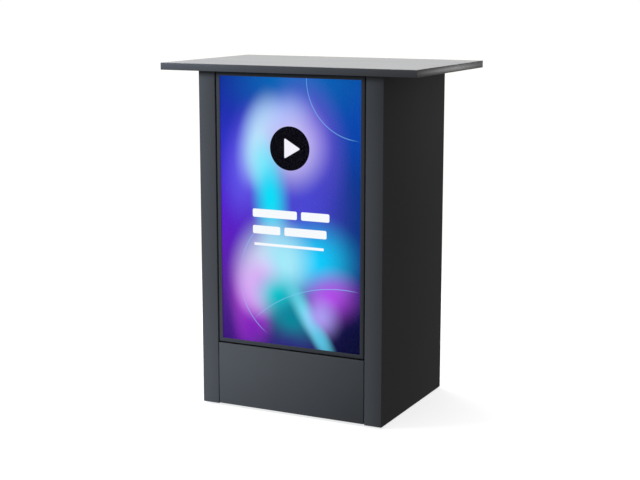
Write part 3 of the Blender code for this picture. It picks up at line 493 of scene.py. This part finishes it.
# The play mark's disc, its middle's height above the screen's, and the softness of all outlines
DISC_RADIUS = 0.0765
DISC_HEIGHT = 0.228
OUTLINE_SOFTNESS = 0.0006

# Colours down the picture's left and right edges, from the bottom up
LEFT_EDGE = ((54, 15, 118), (84, 36, 150), (98, 22, 196), (70, 38, 216), (34, 50, 192), (2, 38, 140))
RIGHT_EDGE = ((3, 5, 48), (26, 24, 112), (10, 56, 134), (3, 48, 128), (3, 72, 184), (2, 72, 160))

# Soft patches of the picture, from the back one forwards: centre and half size as shares of the
# screen's half width and half height, turn in degrees, and colour.
PATCHES = (
    ((0.06, 1.00), (1.05, 0.40), 0, (2, 104, 188)),
    ((0.28, 0.56), (0.50, 0.48), -14, (108, 86, 218)),
    ((0.16, 0.08), (0.72, 0.46), 0, (74, 70, 212)),
    ((-0.62, 0.36), (0.36, 0.46), 8, (104, 92, 240)),
    ((-0.16, 0.70), (0.50, 0.20), -24, (150, 180, 250)),
    ((-0.44, 0.54), (0.30, 0.36), 14, (188, 228, 255)),
    ((0.02, 0.50), (0.52, 0.34), 0, (214, 204, 254)),
    ((-0.40, 0.36), (0.24, 0.24), -6, (160, 236, 255)),
    ((-0.28, 0.10), (0.27, 0.44), -4, (0, 224, 250)),
    ((-0.58, -0.66), (0.34, 0.42), -6, (196, 84, 230)),
    ((-0.56, -0.90), (0.32, 0.26), 0, (132, 34, 190)),
    ((-0.34, -0.40), (0.50, 0.38), 14, (214, 232, 252)),
    ((0.34, -0.34), (0.64, 0.32), -6, (0, 206, 255)),
    ((-0.06, -0.36), (0.42, 0.30), 0, (166, 236, 252)),
    ((-0.46, -0.56), (0.34, 0.26), 10, (222, 170, 248)),
    ((0.58, -0.61), (0.46, 0.22), -10, (184, 78, 238)),
    ((-0.16, -0.63), (0.40, 0.20), 14, (0, 208, 216)),
    ((0.02, -0.80), (0.40, 0.26), -26, (0, 134, 156)),
    ((0.28, -0.79), (0.15, 0.36), -33, (116, 228, 248)),
    ((0.46, -0.76), (0.28, 0.18), -30, (178, 160, 250)),
    ((-0.05, -1.04), (0.66, 0.20), 0, (44, 40, 124)),
    ((0.47, -0.95), (0.13, 0.20), -33, (96, 206, 240)),
    ((1.06, -0.98), (0.66, 0.50), 0, (4, 6, 50)),
)

# How far a patch fades out beyond its half size
PATCH_REACH = 1.22

# Thin bright arcs, in metres from the screen's middle: centre, radius, and the span of x shown.
# Each fades out across its thickness, and towards both ends of its span.
ARC_STRENGTH = 0.62
ARC_THICKNESS = (0.0004, 0.0020)
ARC_FADE = 0.05
ARCS = (
    ((0.270, 0.470), 0.205, (0.030, 0.270)),
    ((0.040, -0.235), 0.240, (-0.215, -0.085)),
    ((0.200, -0.750), 0.500, (-0.150, 0.270)),
)

# Plain bars that stand for lines of writing: middle and half size as shares of the screen's half size
BARS = (
    ((-0.22, -0.010), (0.320, 0.0310)),
    ((0.36, -0.010), (0.200, 0.0310)),
    ((-0.34, -0.135), (0.200, 0.0310)),
    ((0.22, -0.135), (0.300, 0.0310)),
    ((-0.02, -0.245), (0.500, 0.0100)),
)


def window_half():
    """Half the width and half the height of the window in the bezel."""
    low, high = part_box("display_bezel")
    return (high.x - low.x) / 2 - WINDOW_BORDER, (high.z - low.z) / 2 - WINDOW_BORDER


def flat_length(paint, x, z):
    """The length of a line that goes x across and z up."""
    return paint.length(paint.node("CombineXYZ", [x, 0.0, z]).outputs[0])


def half_plane(paint, x, z, turn, distance):
    """How far a point lies beyond a straight edge that faces this way, in metres."""
    along = paint.math("MULTIPLY", x, cos(turn))
    across = paint.math("MULTIPLY_ADD", z, sin(turn), along)
    return paint.math("SUBTRACT", across, distance)


def inside(paint, distance):
    """1 where the distance to an outline is below nothing, with a soft edge."""
    return paint.ranged(distance, 1.0, 0.0, -OUTLINE_SOFTNESS, OUTLINE_SOFTNESS, smooth=True)


def play_mark(paint, x, z, picture):
    """A dark disc with a rounded triangle that points right."""
    z = paint.math("SUBTRACT", z, DISC_HEIGHT)
    disc = inside(paint, paint.math("SUBTRACT", flat_length(paint, x, z), DISC_RADIUS))
    picture = paint.between(disc, picture, srgb(*DISC_COLOUR))
    inner, rounding = DISC_RADIUS * 0.27, DISC_RADIUS * 0.12
    sides = [half_plane(paint, x, z, turn, inner) for turn in (pi, pi / 3, -pi / 3)]
    outline = paint.math("SMOOTH_MAX", sides[0], sides[1], rounding)
    outline = paint.math("SMOOTH_MAX", outline, sides[2], rounding)
    return paint.between(inside(paint, outline), picture, srgb(*PLAY_COLOUR))


def bar(paint, x, z, middle, half, picture):
    """A rounded bar. Its middle and half size are in metres."""
    corner = min(half) * 0.4
    gaps = []
    for axis, centre, reach in ((x, middle[0], half[0]), (z, middle[1], half[1])):
        away = paint.math("ABSOLUTE", paint.math("SUBTRACT", axis, centre))
        gaps.append(paint.math("MAXIMUM", paint.math("SUBTRACT", away, reach - corner), 0.0))
    mask = inside(paint, paint.math("SUBTRACT", flat_length(paint, *gaps), corner))
    return paint.between(mask, picture, srgb(*BAR_COLOUR))


def light_arc(paint, x, z, arc, picture):
    """A thin bright arc that fades out at both ends of its span."""
    (centre_x, centre_z), radius, (start, end) = arc
    across = paint.math("SUBTRACT", x, centre_x)
    up = paint.math("SUBTRACT", z, centre_z)
    off = paint.math("ABSOLUTE", paint.math("SUBTRACT", flat_length(paint, across, up), radius))
    line = paint.ranged(off, ARC_STRENGTH, 0.0, *ARC_THICKNESS, smooth=True)
    rising = paint.ranged(x, 0.0, 1.0, start, start + ARC_FADE, smooth=True)
    falling = paint.ranged(x, 1.0, 0.0, end - ARC_FADE, end, smooth=True)
    shown = paint.math("MULTIPLY", line, paint.math("MULTIPLY", rising, falling))
    return paint.between(shown, picture, srgb(*ARC_COLOUR))


def ground(paint, x, z, half):
    """The colours of the picture's left edge, which run into those of its right edge."""
    sideways = paint.ranged(x, 0.0, 1.0, -half[0], half[0], smooth=True)
    upwards = paint.ranged(z, 0.0, 1.0, -half[1], half[1])
    edges = [paint.ramp(upwards, [srgb(*colour) for colour in side]) for side in (LEFT_EDGE, RIGHT_EDGE)]
    return paint.between(sideways, *edges)


def soft_patch(paint, centre, half, patch, picture):
    """A soft patch of colour, strongest in its middle."""
    (across, up), (wide, tall), turn, colour = patch
    place = (centre.x + across * half[0], centre.y, centre.z + up * half[1])
    size = (PATCH_REACH * wide * half[0], 1.0, PATCH_REACH * tall * half[1])
    where = paint.mapped(size, place, (0.0, radians(turn), 0.0), kind="TEXTURE")
    glow = paint.node("TexGradient", [where], gradient_type="SPHERICAL").outputs[1]
    share = paint.ranged(glow, 0.0, 1.0, smooth=True)
    return paint.between(share, picture, srgb(*colour))


def lit_area(paint, x, z, half):
    """1 on the panel's front face behind the window, and 0 round it and on the other faces."""
    within = []
    for axis, reach in ((x, half[0]), (z, half[1])):
        away = paint.math("ABSOLUTE", axis)
        within.append(inside(paint, paint.math("SUBTRACT", away, reach + LIT_MARGIN)))
    backwards = paint.node("SeparateXYZ", [paint.coordinates["Normal"]]).outputs["Y"]
    in_front = paint.math("LESS_THAN", backwards, FACE_LIMIT)
    return paint.math("MULTIPLY", paint.math("MULTIPLY", *within), in_front)


def lit_screen():
    """An abstract picture of soft coloured patches, a play mark and plain bars."""
    low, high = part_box("lcd_panel")
    centre = (low + high) / 2
    half = window_half()
    black = (0.0, 0.0, 0.0, 1.0)
    values = {"Base Color": (0.004, 0.004, 0.005, 1.0), "Roughness": 0.35, "Specular IOR Level": 0.0}
    paint = Paint("lit_screen_look", values)
    spot = paint.node("VectorMath", [paint.place, tuple(centre)], operation="SUBTRACT").outputs[0]
    axes = paint.node("SeparateXYZ", [spot]).outputs
    x, z = axes["X"], axes["Z"]
    picture = ground(paint, x, z, half)
    for patch in PATCHES:
        picture = soft_patch(paint, centre, half, patch, picture)
    for arc in ARCS:
        picture = light_arc(paint, x, z, arc, picture)
    picture = play_mark(paint, x, z, picture)
    for (across, up), (wide, tall) in BARS:
        middle = (across * half[0], up * half[1])
        picture = bar(paint, x, z, middle, (wide * half[0], tall * half[1]), picture)
    paint.set("Emission Color", paint.between(lit_area(paint, x, z, half), black, picture))
    paint.set("Emission Strength", 1.0)
    return paint.material


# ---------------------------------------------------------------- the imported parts


def soft_folds():
    """A modifier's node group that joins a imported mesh's loose corners and shades its folds round."""
    group = bpy.data.node_groups.new("soft_folds", "GeometryNodeTree")
    group.is_modifier = True
    group.interface.new_socket("Geometry", in_out="INPUT", socket_type="NodeSocketGeometry")
    group.interface.new_socket("Geometry", in_out="OUTPUT", socket_type="NodeSocketGeometry")
    nodes, links = group.nodes, group.links
    start, end = nodes.new("NodeGroupInput"), nodes.new("NodeGroupOutput")
    merge = nodes.new("GeometryNodeMergeByDistance")
    merge.inputs["Distance"].default_value = WELD
    drop = nodes.new("GeometryNodeRemoveAttribute")
    drop.inputs["Name"].default_value = "custom_normal"
    smooth = nodes.new("GeometryNodeSetShadeSmooth")
    sharp = nodes.new("GeometryNodeSetShadeSmooth")
    sharp.domain = "EDGE"
    sharp.inputs["Shade Smooth"].default_value = False
    angle = nodes.new("GeometryNodeInputMeshEdgeAngle")
    over = nodes.new("FunctionNodeCompare")
    over.data_type, over.operation = "FLOAT", "GREATER_THAN"
    over.inputs[1].default_value = FOLD_ANGLE
    links.new(angle.outputs["Unsigned Angle"], over.inputs[0])
    links.new(over.outputs[0], sharp.inputs["Selection"])
    chain = (start, merge, drop, smooth, sharp, end)
    for first, second in zip(chain, chain[1:]):
        links.new(first.outputs[0], second.inputs[0])
    return group


def dress_packed_parts():
    """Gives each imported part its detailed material, and round shading where it is folded or turned."""
    group = soft_folds()
    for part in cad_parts.values():
        slot_name = part.material_slots[0].material.name
        part.material_slots[0].material = LOOKS[slot_name]
        modifier = part.modifiers.new("soft folds", "NODES")
        modifier.node_group = group


# ---------------------------------------------------------------- detail pieces


def ring(mesh, place, outline, height):
    """A closed loop of corners: outline is (x, y) points, set at this height in the place's own axes."""
    return [mesh.verts.new(place @ Vector((x, y, height))) for x, y in outline]


def skin(mesh, place, steps, hollow=False):
    """A skin over outlines, each given with its height in the place's own axes.

    Each outline is joined to the next. Both ends are closed, or joined to make a ring with a hole.
    """
    loops = [ring(mesh, place, outline, height) for outline, height in steps]
    joined = [*loops, loops[0]] if hollow else loops
    for lower, upper in zip(joined, joined[1:]):
        for index in range(len(lower)):
            after = (index + 1) % len(lower)
            mesh.faces.new((lower[index], lower[after], upper[after], upper[index]))
    if not hollow:
        mesh.faces.new(reversed(loops[0]))
        mesh.faces.new(loops[-1])


def circle(radius):
    """Evenly spaced points round a circle."""
    return [(radius * cos(tau * step / SIDES), radius * sin(tau * step / SIDES)) for step in range(SIDES)]


def hexagon(radius):
    """A hexagon drawn with as many points as a circle, so that the two can be joined."""
    points = []
    for x, y in circle(1.0):
        step = Vector((x, y)).angle_signed(Vector((1.0, 0.0)))
        reach = radius * cos(pi / 6) / cos((step % (pi / 3)) - pi / 6)
        points.append((reach * x, reach * y))
    return points


def rounded(half_width, half_depth, corner):
    """A rectangle with rounded corners."""
    points = []
    for quarter, (side_x, side_y) in enumerate(((1, 1), (-1, 1), (-1, -1), (1, -1))):
        centre_x, centre_y = side_x * (half_width - corner), side_y * (half_depth - corner)
        for step in range(CORNER_STEPS + 1):
            angle = (quarter + step / CORNER_STEPS) * pi / 2
            points.append((centre_x + corner * cos(angle), centre_y + corner * sin(angle)))
    return points


def facing(place, direction):
    """Axes at a place, with z along the direction."""
    turn = Vector(direction).to_track_quat("Z", "Y").to_matrix().to_4x4()
    return Matrix.Translation(Vector(place)) @ turn


def piece(name, mesh, slot, body, look=None):
    """Turns a finished bmesh into an object with a slot's material, riding on a body."""
    bmesh.ops.recalc_face_normals(mesh, faces=mesh.faces)
    data = bpy.data.meshes.new(name)
    mesh.to_mesh(data)
    mesh.free()
    data.shade_smooth()
    data.set_sharp_from_angle(angle=CREASE_ANGLE)
    data.materials.append(look or LOOKS[slot])
    made = bpy.data.objects.new(name, data)
    bpy.context.scene.collection.objects.link(made)
    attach(made, body)
    return made


def add_screw(mesh, place, radius, height):
    """A pan head with a hexagon socket."""
    socket = radius * 0.48
    profile = ((0.0, 1.0), (0.35, 1.0), (0.72, 0.90), (0.94, 0.70))
    steps = [(circle(radius * wide), height * up) for up, wide in profile]
    steps.append((hexagon(socket * 1.08), height))
    steps.append((hexagon(socket), height * 0.93))
    steps.append((hexagon(socket), height * 0.25))
    skin(mesh, place, steps)


def add_hex_bolt(mesh, place, radius, height):
    """A hexagon head on a washer."""
    washer = 0.0016
    steps = (
        (circle(radius * 1.45), 0.0),
        (circle(radius * 1.45), washer * 0.8),
        (circle(radius * 1.38), washer),
        (hexagon(radius), washer),
        (hexagon(radius), washer + height * 0.88),
        (circle(radius * 0.84), washer + height),
    )
    skin(mesh, place, steps)


def add_strain_relief(mesh, place, start, end, length, ribs=4):
    """A ribbed boot that narrows along z, from one radius to the other."""
    profile = ((0.0, 1.0), (0.62, 1.0), (0.66, 0.84), (0.96, 0.84))
    steps = []
    for rib in range(ribs):
        for share, dip in profile:
            along = (rib + share) / ribs
            steps.append((circle((start + (end - start) * along) * dip), length * along))
    steps.append((circle(end * 0.9), length))
    skin(mesh, place, steps)


def add_plug(mesh, place, half, height, lead_radius):
    """A moulded plug with soft corners and a boot for its lead, standing on the place."""
    corner = min(half) * 0.45
    profile = ((0.94, 0.0), (1.0, 0.06), (1.0, 0.62), (0.80, 0.92), (0.66, 1.0))
    steps = [
        (rounded(half[0] * share, half[1] * share, corner * share), height * up)
        for share, up in profile
    ]
    skin(mesh, place, steps)
    boot = place @ Matrix.Translation((0.0, 0.0, height * 0.98))
    add_strain_relief(mesh, boot, lead_radius * 1.75, lead_radius * 1.25, lead_radius * 4.5)


def add_frame(mesh, place, half, border, height):
    """A raised rim with a sunk middle."""
    wide, deep = half
    outer = rounded(wide, deep, border * 1.2)
    shoulder = rounded(wide - border * 0.25, deep - border * 0.25, border)
    inner = rounded(wide - border, deep - border, border * 0.7)
    floor = rounded(wide - border * 1.15, deep - border * 1.15, border * 0.6)
    steps = (
        (outer, -2 * SUNK),
        (outer, height * 0.7),
        (shoulder, height),
        (inner, height),
        (floor, height * 0.25),
    )
    skin(mesh, place, steps)


def fasteners(name, spots, direction, body, radius, height, add=add_screw):
    """One piece made of equal fastener heads on a surface that faces the direction."""
    mesh = bmesh.new()
    sunk = Vector(direction) * SUNK
    for spot in spots:
        add(mesh, facing(Vector(spot) - sunk, direction), radius, height)
    piece(name, mesh, "zinc_steel", body)


def make_hinge_screws():
    """Three screws in each leaf of the two hinges."""
    from_edge, leaf, pitch = 0.0085, 0.002, 0.025
    for level in ("upper", "lower"):
        for side, body in (("frame", "cabinet"), ("door", "door")):
            low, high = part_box(f"hinge_{level}_{side}_leaf")
            x = high.x - from_edge if side == "frame" else low.x + from_edge
            middle = (low.z + high.z) / 2
            spots = [(x, low.y + leaf, middle + step) for step in (-pitch, 0.0, pitch)]
            fasteners(f"hinge_{level}_{side}_screws", spots, BACK, body, radius=0.0034, height=0.0019)


def make_inlet_details():
    """The inlet's two screws and its three pins."""
    low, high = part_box("power_inlet")
    centre = (low + high) / 2
    to_screw, to_socket, socket_depth = 0.0334, 0.0125, 0.0172
    spots = [(centre.x + side * to_screw, high.y, centre.z) for side in (-1, 1)]
    fasteners("inlet_screws", spots, BACK, "cabinet", radius=0.0021, height=0.0011)
    socket_x, floor_y = centre.x - to_socket, high.y - socket_depth
    blade, tip = rounded(0.0010, 0.0020, 0.0003), rounded(0.0006, 0.0015, 0.0002)
    mesh = bmesh.new()
    for across, up in CONTACT_SPOTS:
        place = facing((socket_x + across, floor_y, centre.z + up), BACK)
        skin(mesh, place, ((blade, 0.0), (blade, 0.0135), (tip, 0.0145)))
    piece("inlet_pins", mesh, "nickel", "cabinet")


def make_rocker_marks():
    """A bar for on and a ring for off, moulded on the rocker's two slopes."""
    low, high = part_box("inlet_switch")
    pivot_depth, tilt, slope = 0.0025, radians(7), radians(13.6)
    above_pivot, along_slope = 0.00252, 0.0055
    top = 0.00025
    pivot_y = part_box("power_inlet")[1].y - pivot_depth
    pivot = Vector(((low.x + high.x) / 2, pivot_y, (low.z + high.z) / 2))
    tilted = Matrix.Translation(pivot) @ Matrix.Rotation(tilt, 4, "X")
    stroke = rounded(0.0003, 0.0018, 0.00025)
    outer, inner = circle(0.0020), circle(0.0014)
    mesh = bmesh.new()
    for side in (-1, 1):
        turn = Matrix.Rotation(-side * slope, 4, "X") @ Matrix.Rotation(-pi / 2, 4, "X")
        place = tilted @ Matrix.Translation((0.0, above_pivot, side * along_slope)) @ turn
        if side < 0:
            steps = ((outer, -SUNK), (outer, top), (inner, top), (inner, -SUNK))
            skin(mesh, place, steps, hollow=True)
        else:
            skin(mesh, place, ((stroke, -SUNK), (stroke, top)))
    piece("inlet_switch_marks", mesh, "diffuser", "mains_switch")


def thread_outline(height):
    """The spindle's section at this height: a single thread with straight flanks."""
    outline = []
    for number, (x, y) in enumerate(circle(1.0)):
        phase = (height / THREAD_PITCH - number / SIDES) % 1.0
        reach = SPINDLE_RADIUS - THREAD_DEPTH * abs(2.0 * phase - 1.0)
        outline.append((reach * x, reach * y))
    return outline


def spindle_steps(collar, length):
    """Outlines and heights of a levelling spindle: a collar with soft edges, then the thread."""
    start, tip = 0.0002, 0.001
    steps = [
        (circle(collar * 0.94), 0.0),
        (circle(collar), COLLAR_EDGE),
        (circle(collar), COLLAR_HEIGHT - COLLAR_EDGE),
        (circle(collar * 0.94), COLLAR_HEIGHT),
    ]
    for step in range(int((length - COLLAR_HEIGHT - tip) / THREAD_PITCH * STEPS_PER_TURN)):
        height = COLLAR_HEIGHT + start + step * THREAD_PITCH / STEPS_PER_TURN
        steps.append((thread_outline(height), height))
    steps.append((circle(SPINDLE_RADIUS - tip), length))
    return steps


def make_spindles():
    """Threaded levelling spindles in place of the plain ones."""
    for place in ("front_left", "front_right", "rear_left", "rear_right"):
        node = f"foot_spindle_{place}"
        low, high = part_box(node)
        centre = (low + high) / 2
        base = facing((centre.x, centre.y, low.z), UP)
        mesh = bmesh.new()
        skin(mesh, base, spindle_steps((high.x - low.x) / 2, high.z - low.z))
        made = piece(f"threaded_spindle_{place}", mesh, "zinc_steel", f"foot_{place}")
        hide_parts(node)


def make_frame_bolts():
    """Bolts that hold the display's rails to the crossbars, and the rails to the display."""
    sheet, mount_reach, from_edge = 0.0015, 0.165, 0.022
    rail_low, rail_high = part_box("mount_rail_right")
    rail_x = (rail_low.x + rail_high.x) / 2
    spots = []
    for crossbar in ("crossbar_upper", "crossbar_lower"):
        low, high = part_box(crossbar)
        spots += [(side * rail_x, low.y + sheet, (low.z + high.z) / 2) for side in (-1, 1)]
    fasteners("crossbar_bolts", spots, BACK, "cabinet", radius=0.0055, height=0.0045, add=add_hex_bolt)
    face, middle = rail_low.y + sheet, (rail_low.z + rail_high.z) / 2
    heights = (middle - mount_reach, middle + mount_reach)
    spots = [(side * rail_x, face, height) for side in (-1, 1) for height in heights]
    fasteners("display_mount_bolts", spots, BACK, "cabinet", radius=0.0045, height=0.0038, add=add_hex_bolt)
    low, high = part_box("display_rear_cover")
    heights = [low.z + share * (high.z - low.z) for share in (0.03, 0.34, 0.66, 0.97)]
    spots = [(x, high.y, height) for x in (low.x + from_edge, high.x - from_edge) for height in heights]
    fasteners("display_cover_screws", spots, BACK, "cabinet", radius=0.0034, height=0.0018)


def make_power_block_details():
    """Four outlets along the power block's top: two in use, and two with open contacts."""
    low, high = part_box("power_block")
    depth = (low.y + high.y) / 2
    display_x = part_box("display_lead")[1].x - THICK_LEAD
    player_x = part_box("player_lead")[0].x + THIN_LEAD
    pitch = (player_x - display_x) / 3
    contact = rounded(0.0011, 0.0022, 0.0004)
    frames, contacts, plugs = bmesh.new(), bmesh.new(), bmesh.new()
    for number in range(4):
        place = facing((display_x + number * pitch, depth, high.z), UP)
        add_frame(frames, place, (0.0150, 0.0115), border=0.0018, height=0.0012)
        if number in (1, 2):
            for across, along in CONTACT_SPOTS:
                spot = place @ Matrix.Translation((across, along, 0.0))
                skin(contacts, spot, ((contact, 0.0), (contact, 0.0008)))
    piece("power_block_outlets", frames, "black_plastic", "cabinet")
    piece("power_block_contacts", contacts, "nickel", "cabinet")
    for x, lead in ((display_x, THICK_LEAD), (player_x, THIN_LEAD)):
        add_plug(plugs, facing((x, depth, high.z + 0.0006), UP), (0.0122, 0.0088), 0.022, lead)
    piece("power_block_plugs", plugs, "black_plastic", "cabinet")
    spots = [(x, depth, high.z) for x in (low.x + 0.010, high.x - 0.010)]
    fasteners("power_block_screws", spots, UP, "cabinet", radius=0.0030, height=0.0016)


def make_lead_ends():
    """Boots where the leads enter their housings."""
    mains_rise = 0.014
    inlet_low, inlet_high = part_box("power_inlet")
    block_low, block_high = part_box("power_block")
    mains_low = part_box("mains_lead")[0]
    inlet_x, inlet_z = (inlet_low.x + inlet_high.x) / 2, (inlet_low.z + inlet_high.z) / 2
    mesh = bmesh.new()
    at_inlet = facing((inlet_x, inlet_low.y, inlet_z), FRONT)
    add_strain_relief(mesh, at_inlet, start=0.0072, end=0.0050, length=0.016)
    depth = (block_low.y + block_high.y) / 2
    at_block = facing((block_low.x, depth, mains_low.z + mains_rise), LEFT)
    add_strain_relief(mesh, at_block, start=0.0072, end=0.0050, length=0.016)
    piece("mains_lead_boots", mesh, "black_plastic", "cabinet")
    cover_low, cover_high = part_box("display_rear_cover")
    display_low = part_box("display_lead")[0]
    video_low, video_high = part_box("video_lead")
    mesh = bmesh.new()
    at_cover = facing((display_low.x + THICK_LEAD, display_low.y + THICK_LEAD, cover_low.z), DOWN)
    add_strain_relief(mesh, at_cover, start=0.0070, end=0.0050, length=0.014)
    at_port = facing(((video_low.x + video_high.x) / 2, cover_high.y, video_high.z - THIN_LEAD), BACK)
    add_strain_relief(mesh, at_port, start=0.0058, end=0.0040, length=0.008, ribs=3)
    piece("display_lead_boots", mesh, "black_plastic", "cabinet")


def make_player_ribs():
    """Twelve cooling ribs across the player's back."""
    low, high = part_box("player_case")
    middle = (low + high) / 2
    aside, top, pitch = 0.012, 0.030, 0.0055
    foot, crest = rounded(0.058, 0.0012, 0.0010), rounded(0.0575, 0.0007, 0.0006)
    mesh = bmesh.new()
    for number in range(12):
        spot = (middle.x - aside, high.y - 2 * SUNK, middle.z + top - number * pitch)
        skin(mesh, facing(spot, BACK), ((foot, 0.0), (foot, 0.0010), (crest, 0.0015)))
    piece("player_cooling_ribs", mesh, "black_plastic", "cabinet")


def make_player_plugs():
    """The video plug on top of the player, and the supply plug below it."""
    low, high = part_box("player_case")
    video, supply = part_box("video_lead"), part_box("player_lead")
    gap = 0.0003
    plug_y = supply[1].y - THIN_LEAD
    mesh = bmesh.new()
    video_spot = ((video[0].x + video[1].x) / 2, plug_y, high.z + gap)
    add_plug(mesh, facing(video_spot, UP), (0.0105, 0.0058), 0.014, THIN_LEAD)
    supply_spot = (supply[1].x - THIN_LEAD, plug_y, low.z - gap)
    add_plug(mesh, facing(supply_spot, DOWN), (0.0062, 0.0058), 0.012, THIN_LEAD)
    piece("player_plugs", mesh, "black_plastic", "cabinet")


def make_player_button_details():
    """A status light above the player's button, and a rim round the button."""
    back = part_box("player_case")[1].y
    button_low, button_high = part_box("player_button")
    button = (button_low + button_high) / 2
    lens, tip = circle(0.0015), circle(0.0015 * 0.6)
    mesh = bmesh.new()
    place = facing((button.x, back - 2 * SUNK, button.z + 0.013), BACK)
    skin(mesh, place, ((lens, 0.0), (lens, 0.0004), (tip, 0.0008)))
    piece("player_status_light", mesh, "diffuser", "cabinet", glowing_lamp())
    outer, inner = 0.0062, 0.0046
    profile = (
        (outer, -2 * SUNK),
        (outer, 0.0003),
        (outer * 0.95, 0.0006),
        (inner, 0.0006),
        (inner, -2 * SUNK),
    )
    mesh = bmesh.new()
    place = facing((button.x, back, button.z), BACK)
    skin(mesh, place, [(circle(radius), height) for radius, height in profile], hollow=True)
    piece("player_button_rim", mesh, "nickel", "cabinet")


# ---------------------------------------------------------------- everything together

LOOKS = {
    "powder_coat": coated_steel("powder_coat_look", COAT, roughness=0.60, grain=0.0011, specular=0.04),
    "bezel": coated_steel("bezel_look", BEZEL_COAT, roughness=0.42, grain=0.0008, specular=0.25),
    "zinc_steel": zinc_steel(),
    "laminate": laminate(),
    "edge_band": edge_band(),
    "board_core": board_core(),
    "cover_glass": cover_glass(),
    "lcd": lit_screen(),
    "diffuser": plain_board("diffuser_look", SHEET_WHITE, SHEET_SPOTS),
    "circuit_board": plain_board("circuit_board_look", BOARD_GREEN, SOLDER),
    "black_plastic": moulded_plastic("black_plastic_look", PLASTIC, roughness=0.48),
    "rubber": rubber(),
    "nickel": nickel(),
    "cable_jacket": moulded_plastic("cable_jacket_look", JACKET, roughness=0.55),
}

bpy.context.scene.view_settings.view_transform = "Standard"
make_camera()
make_world()
make_lights()
make_floor()
dress_packed_parts()
make_hinge_screws()
make_inlet_details()
make_rocker_marks()
make_spindles()
make_frame_bolts()
make_power_block_details()
make_lead_ends()
make_player_ribs()
make_player_plugs()
make_player_button_details()
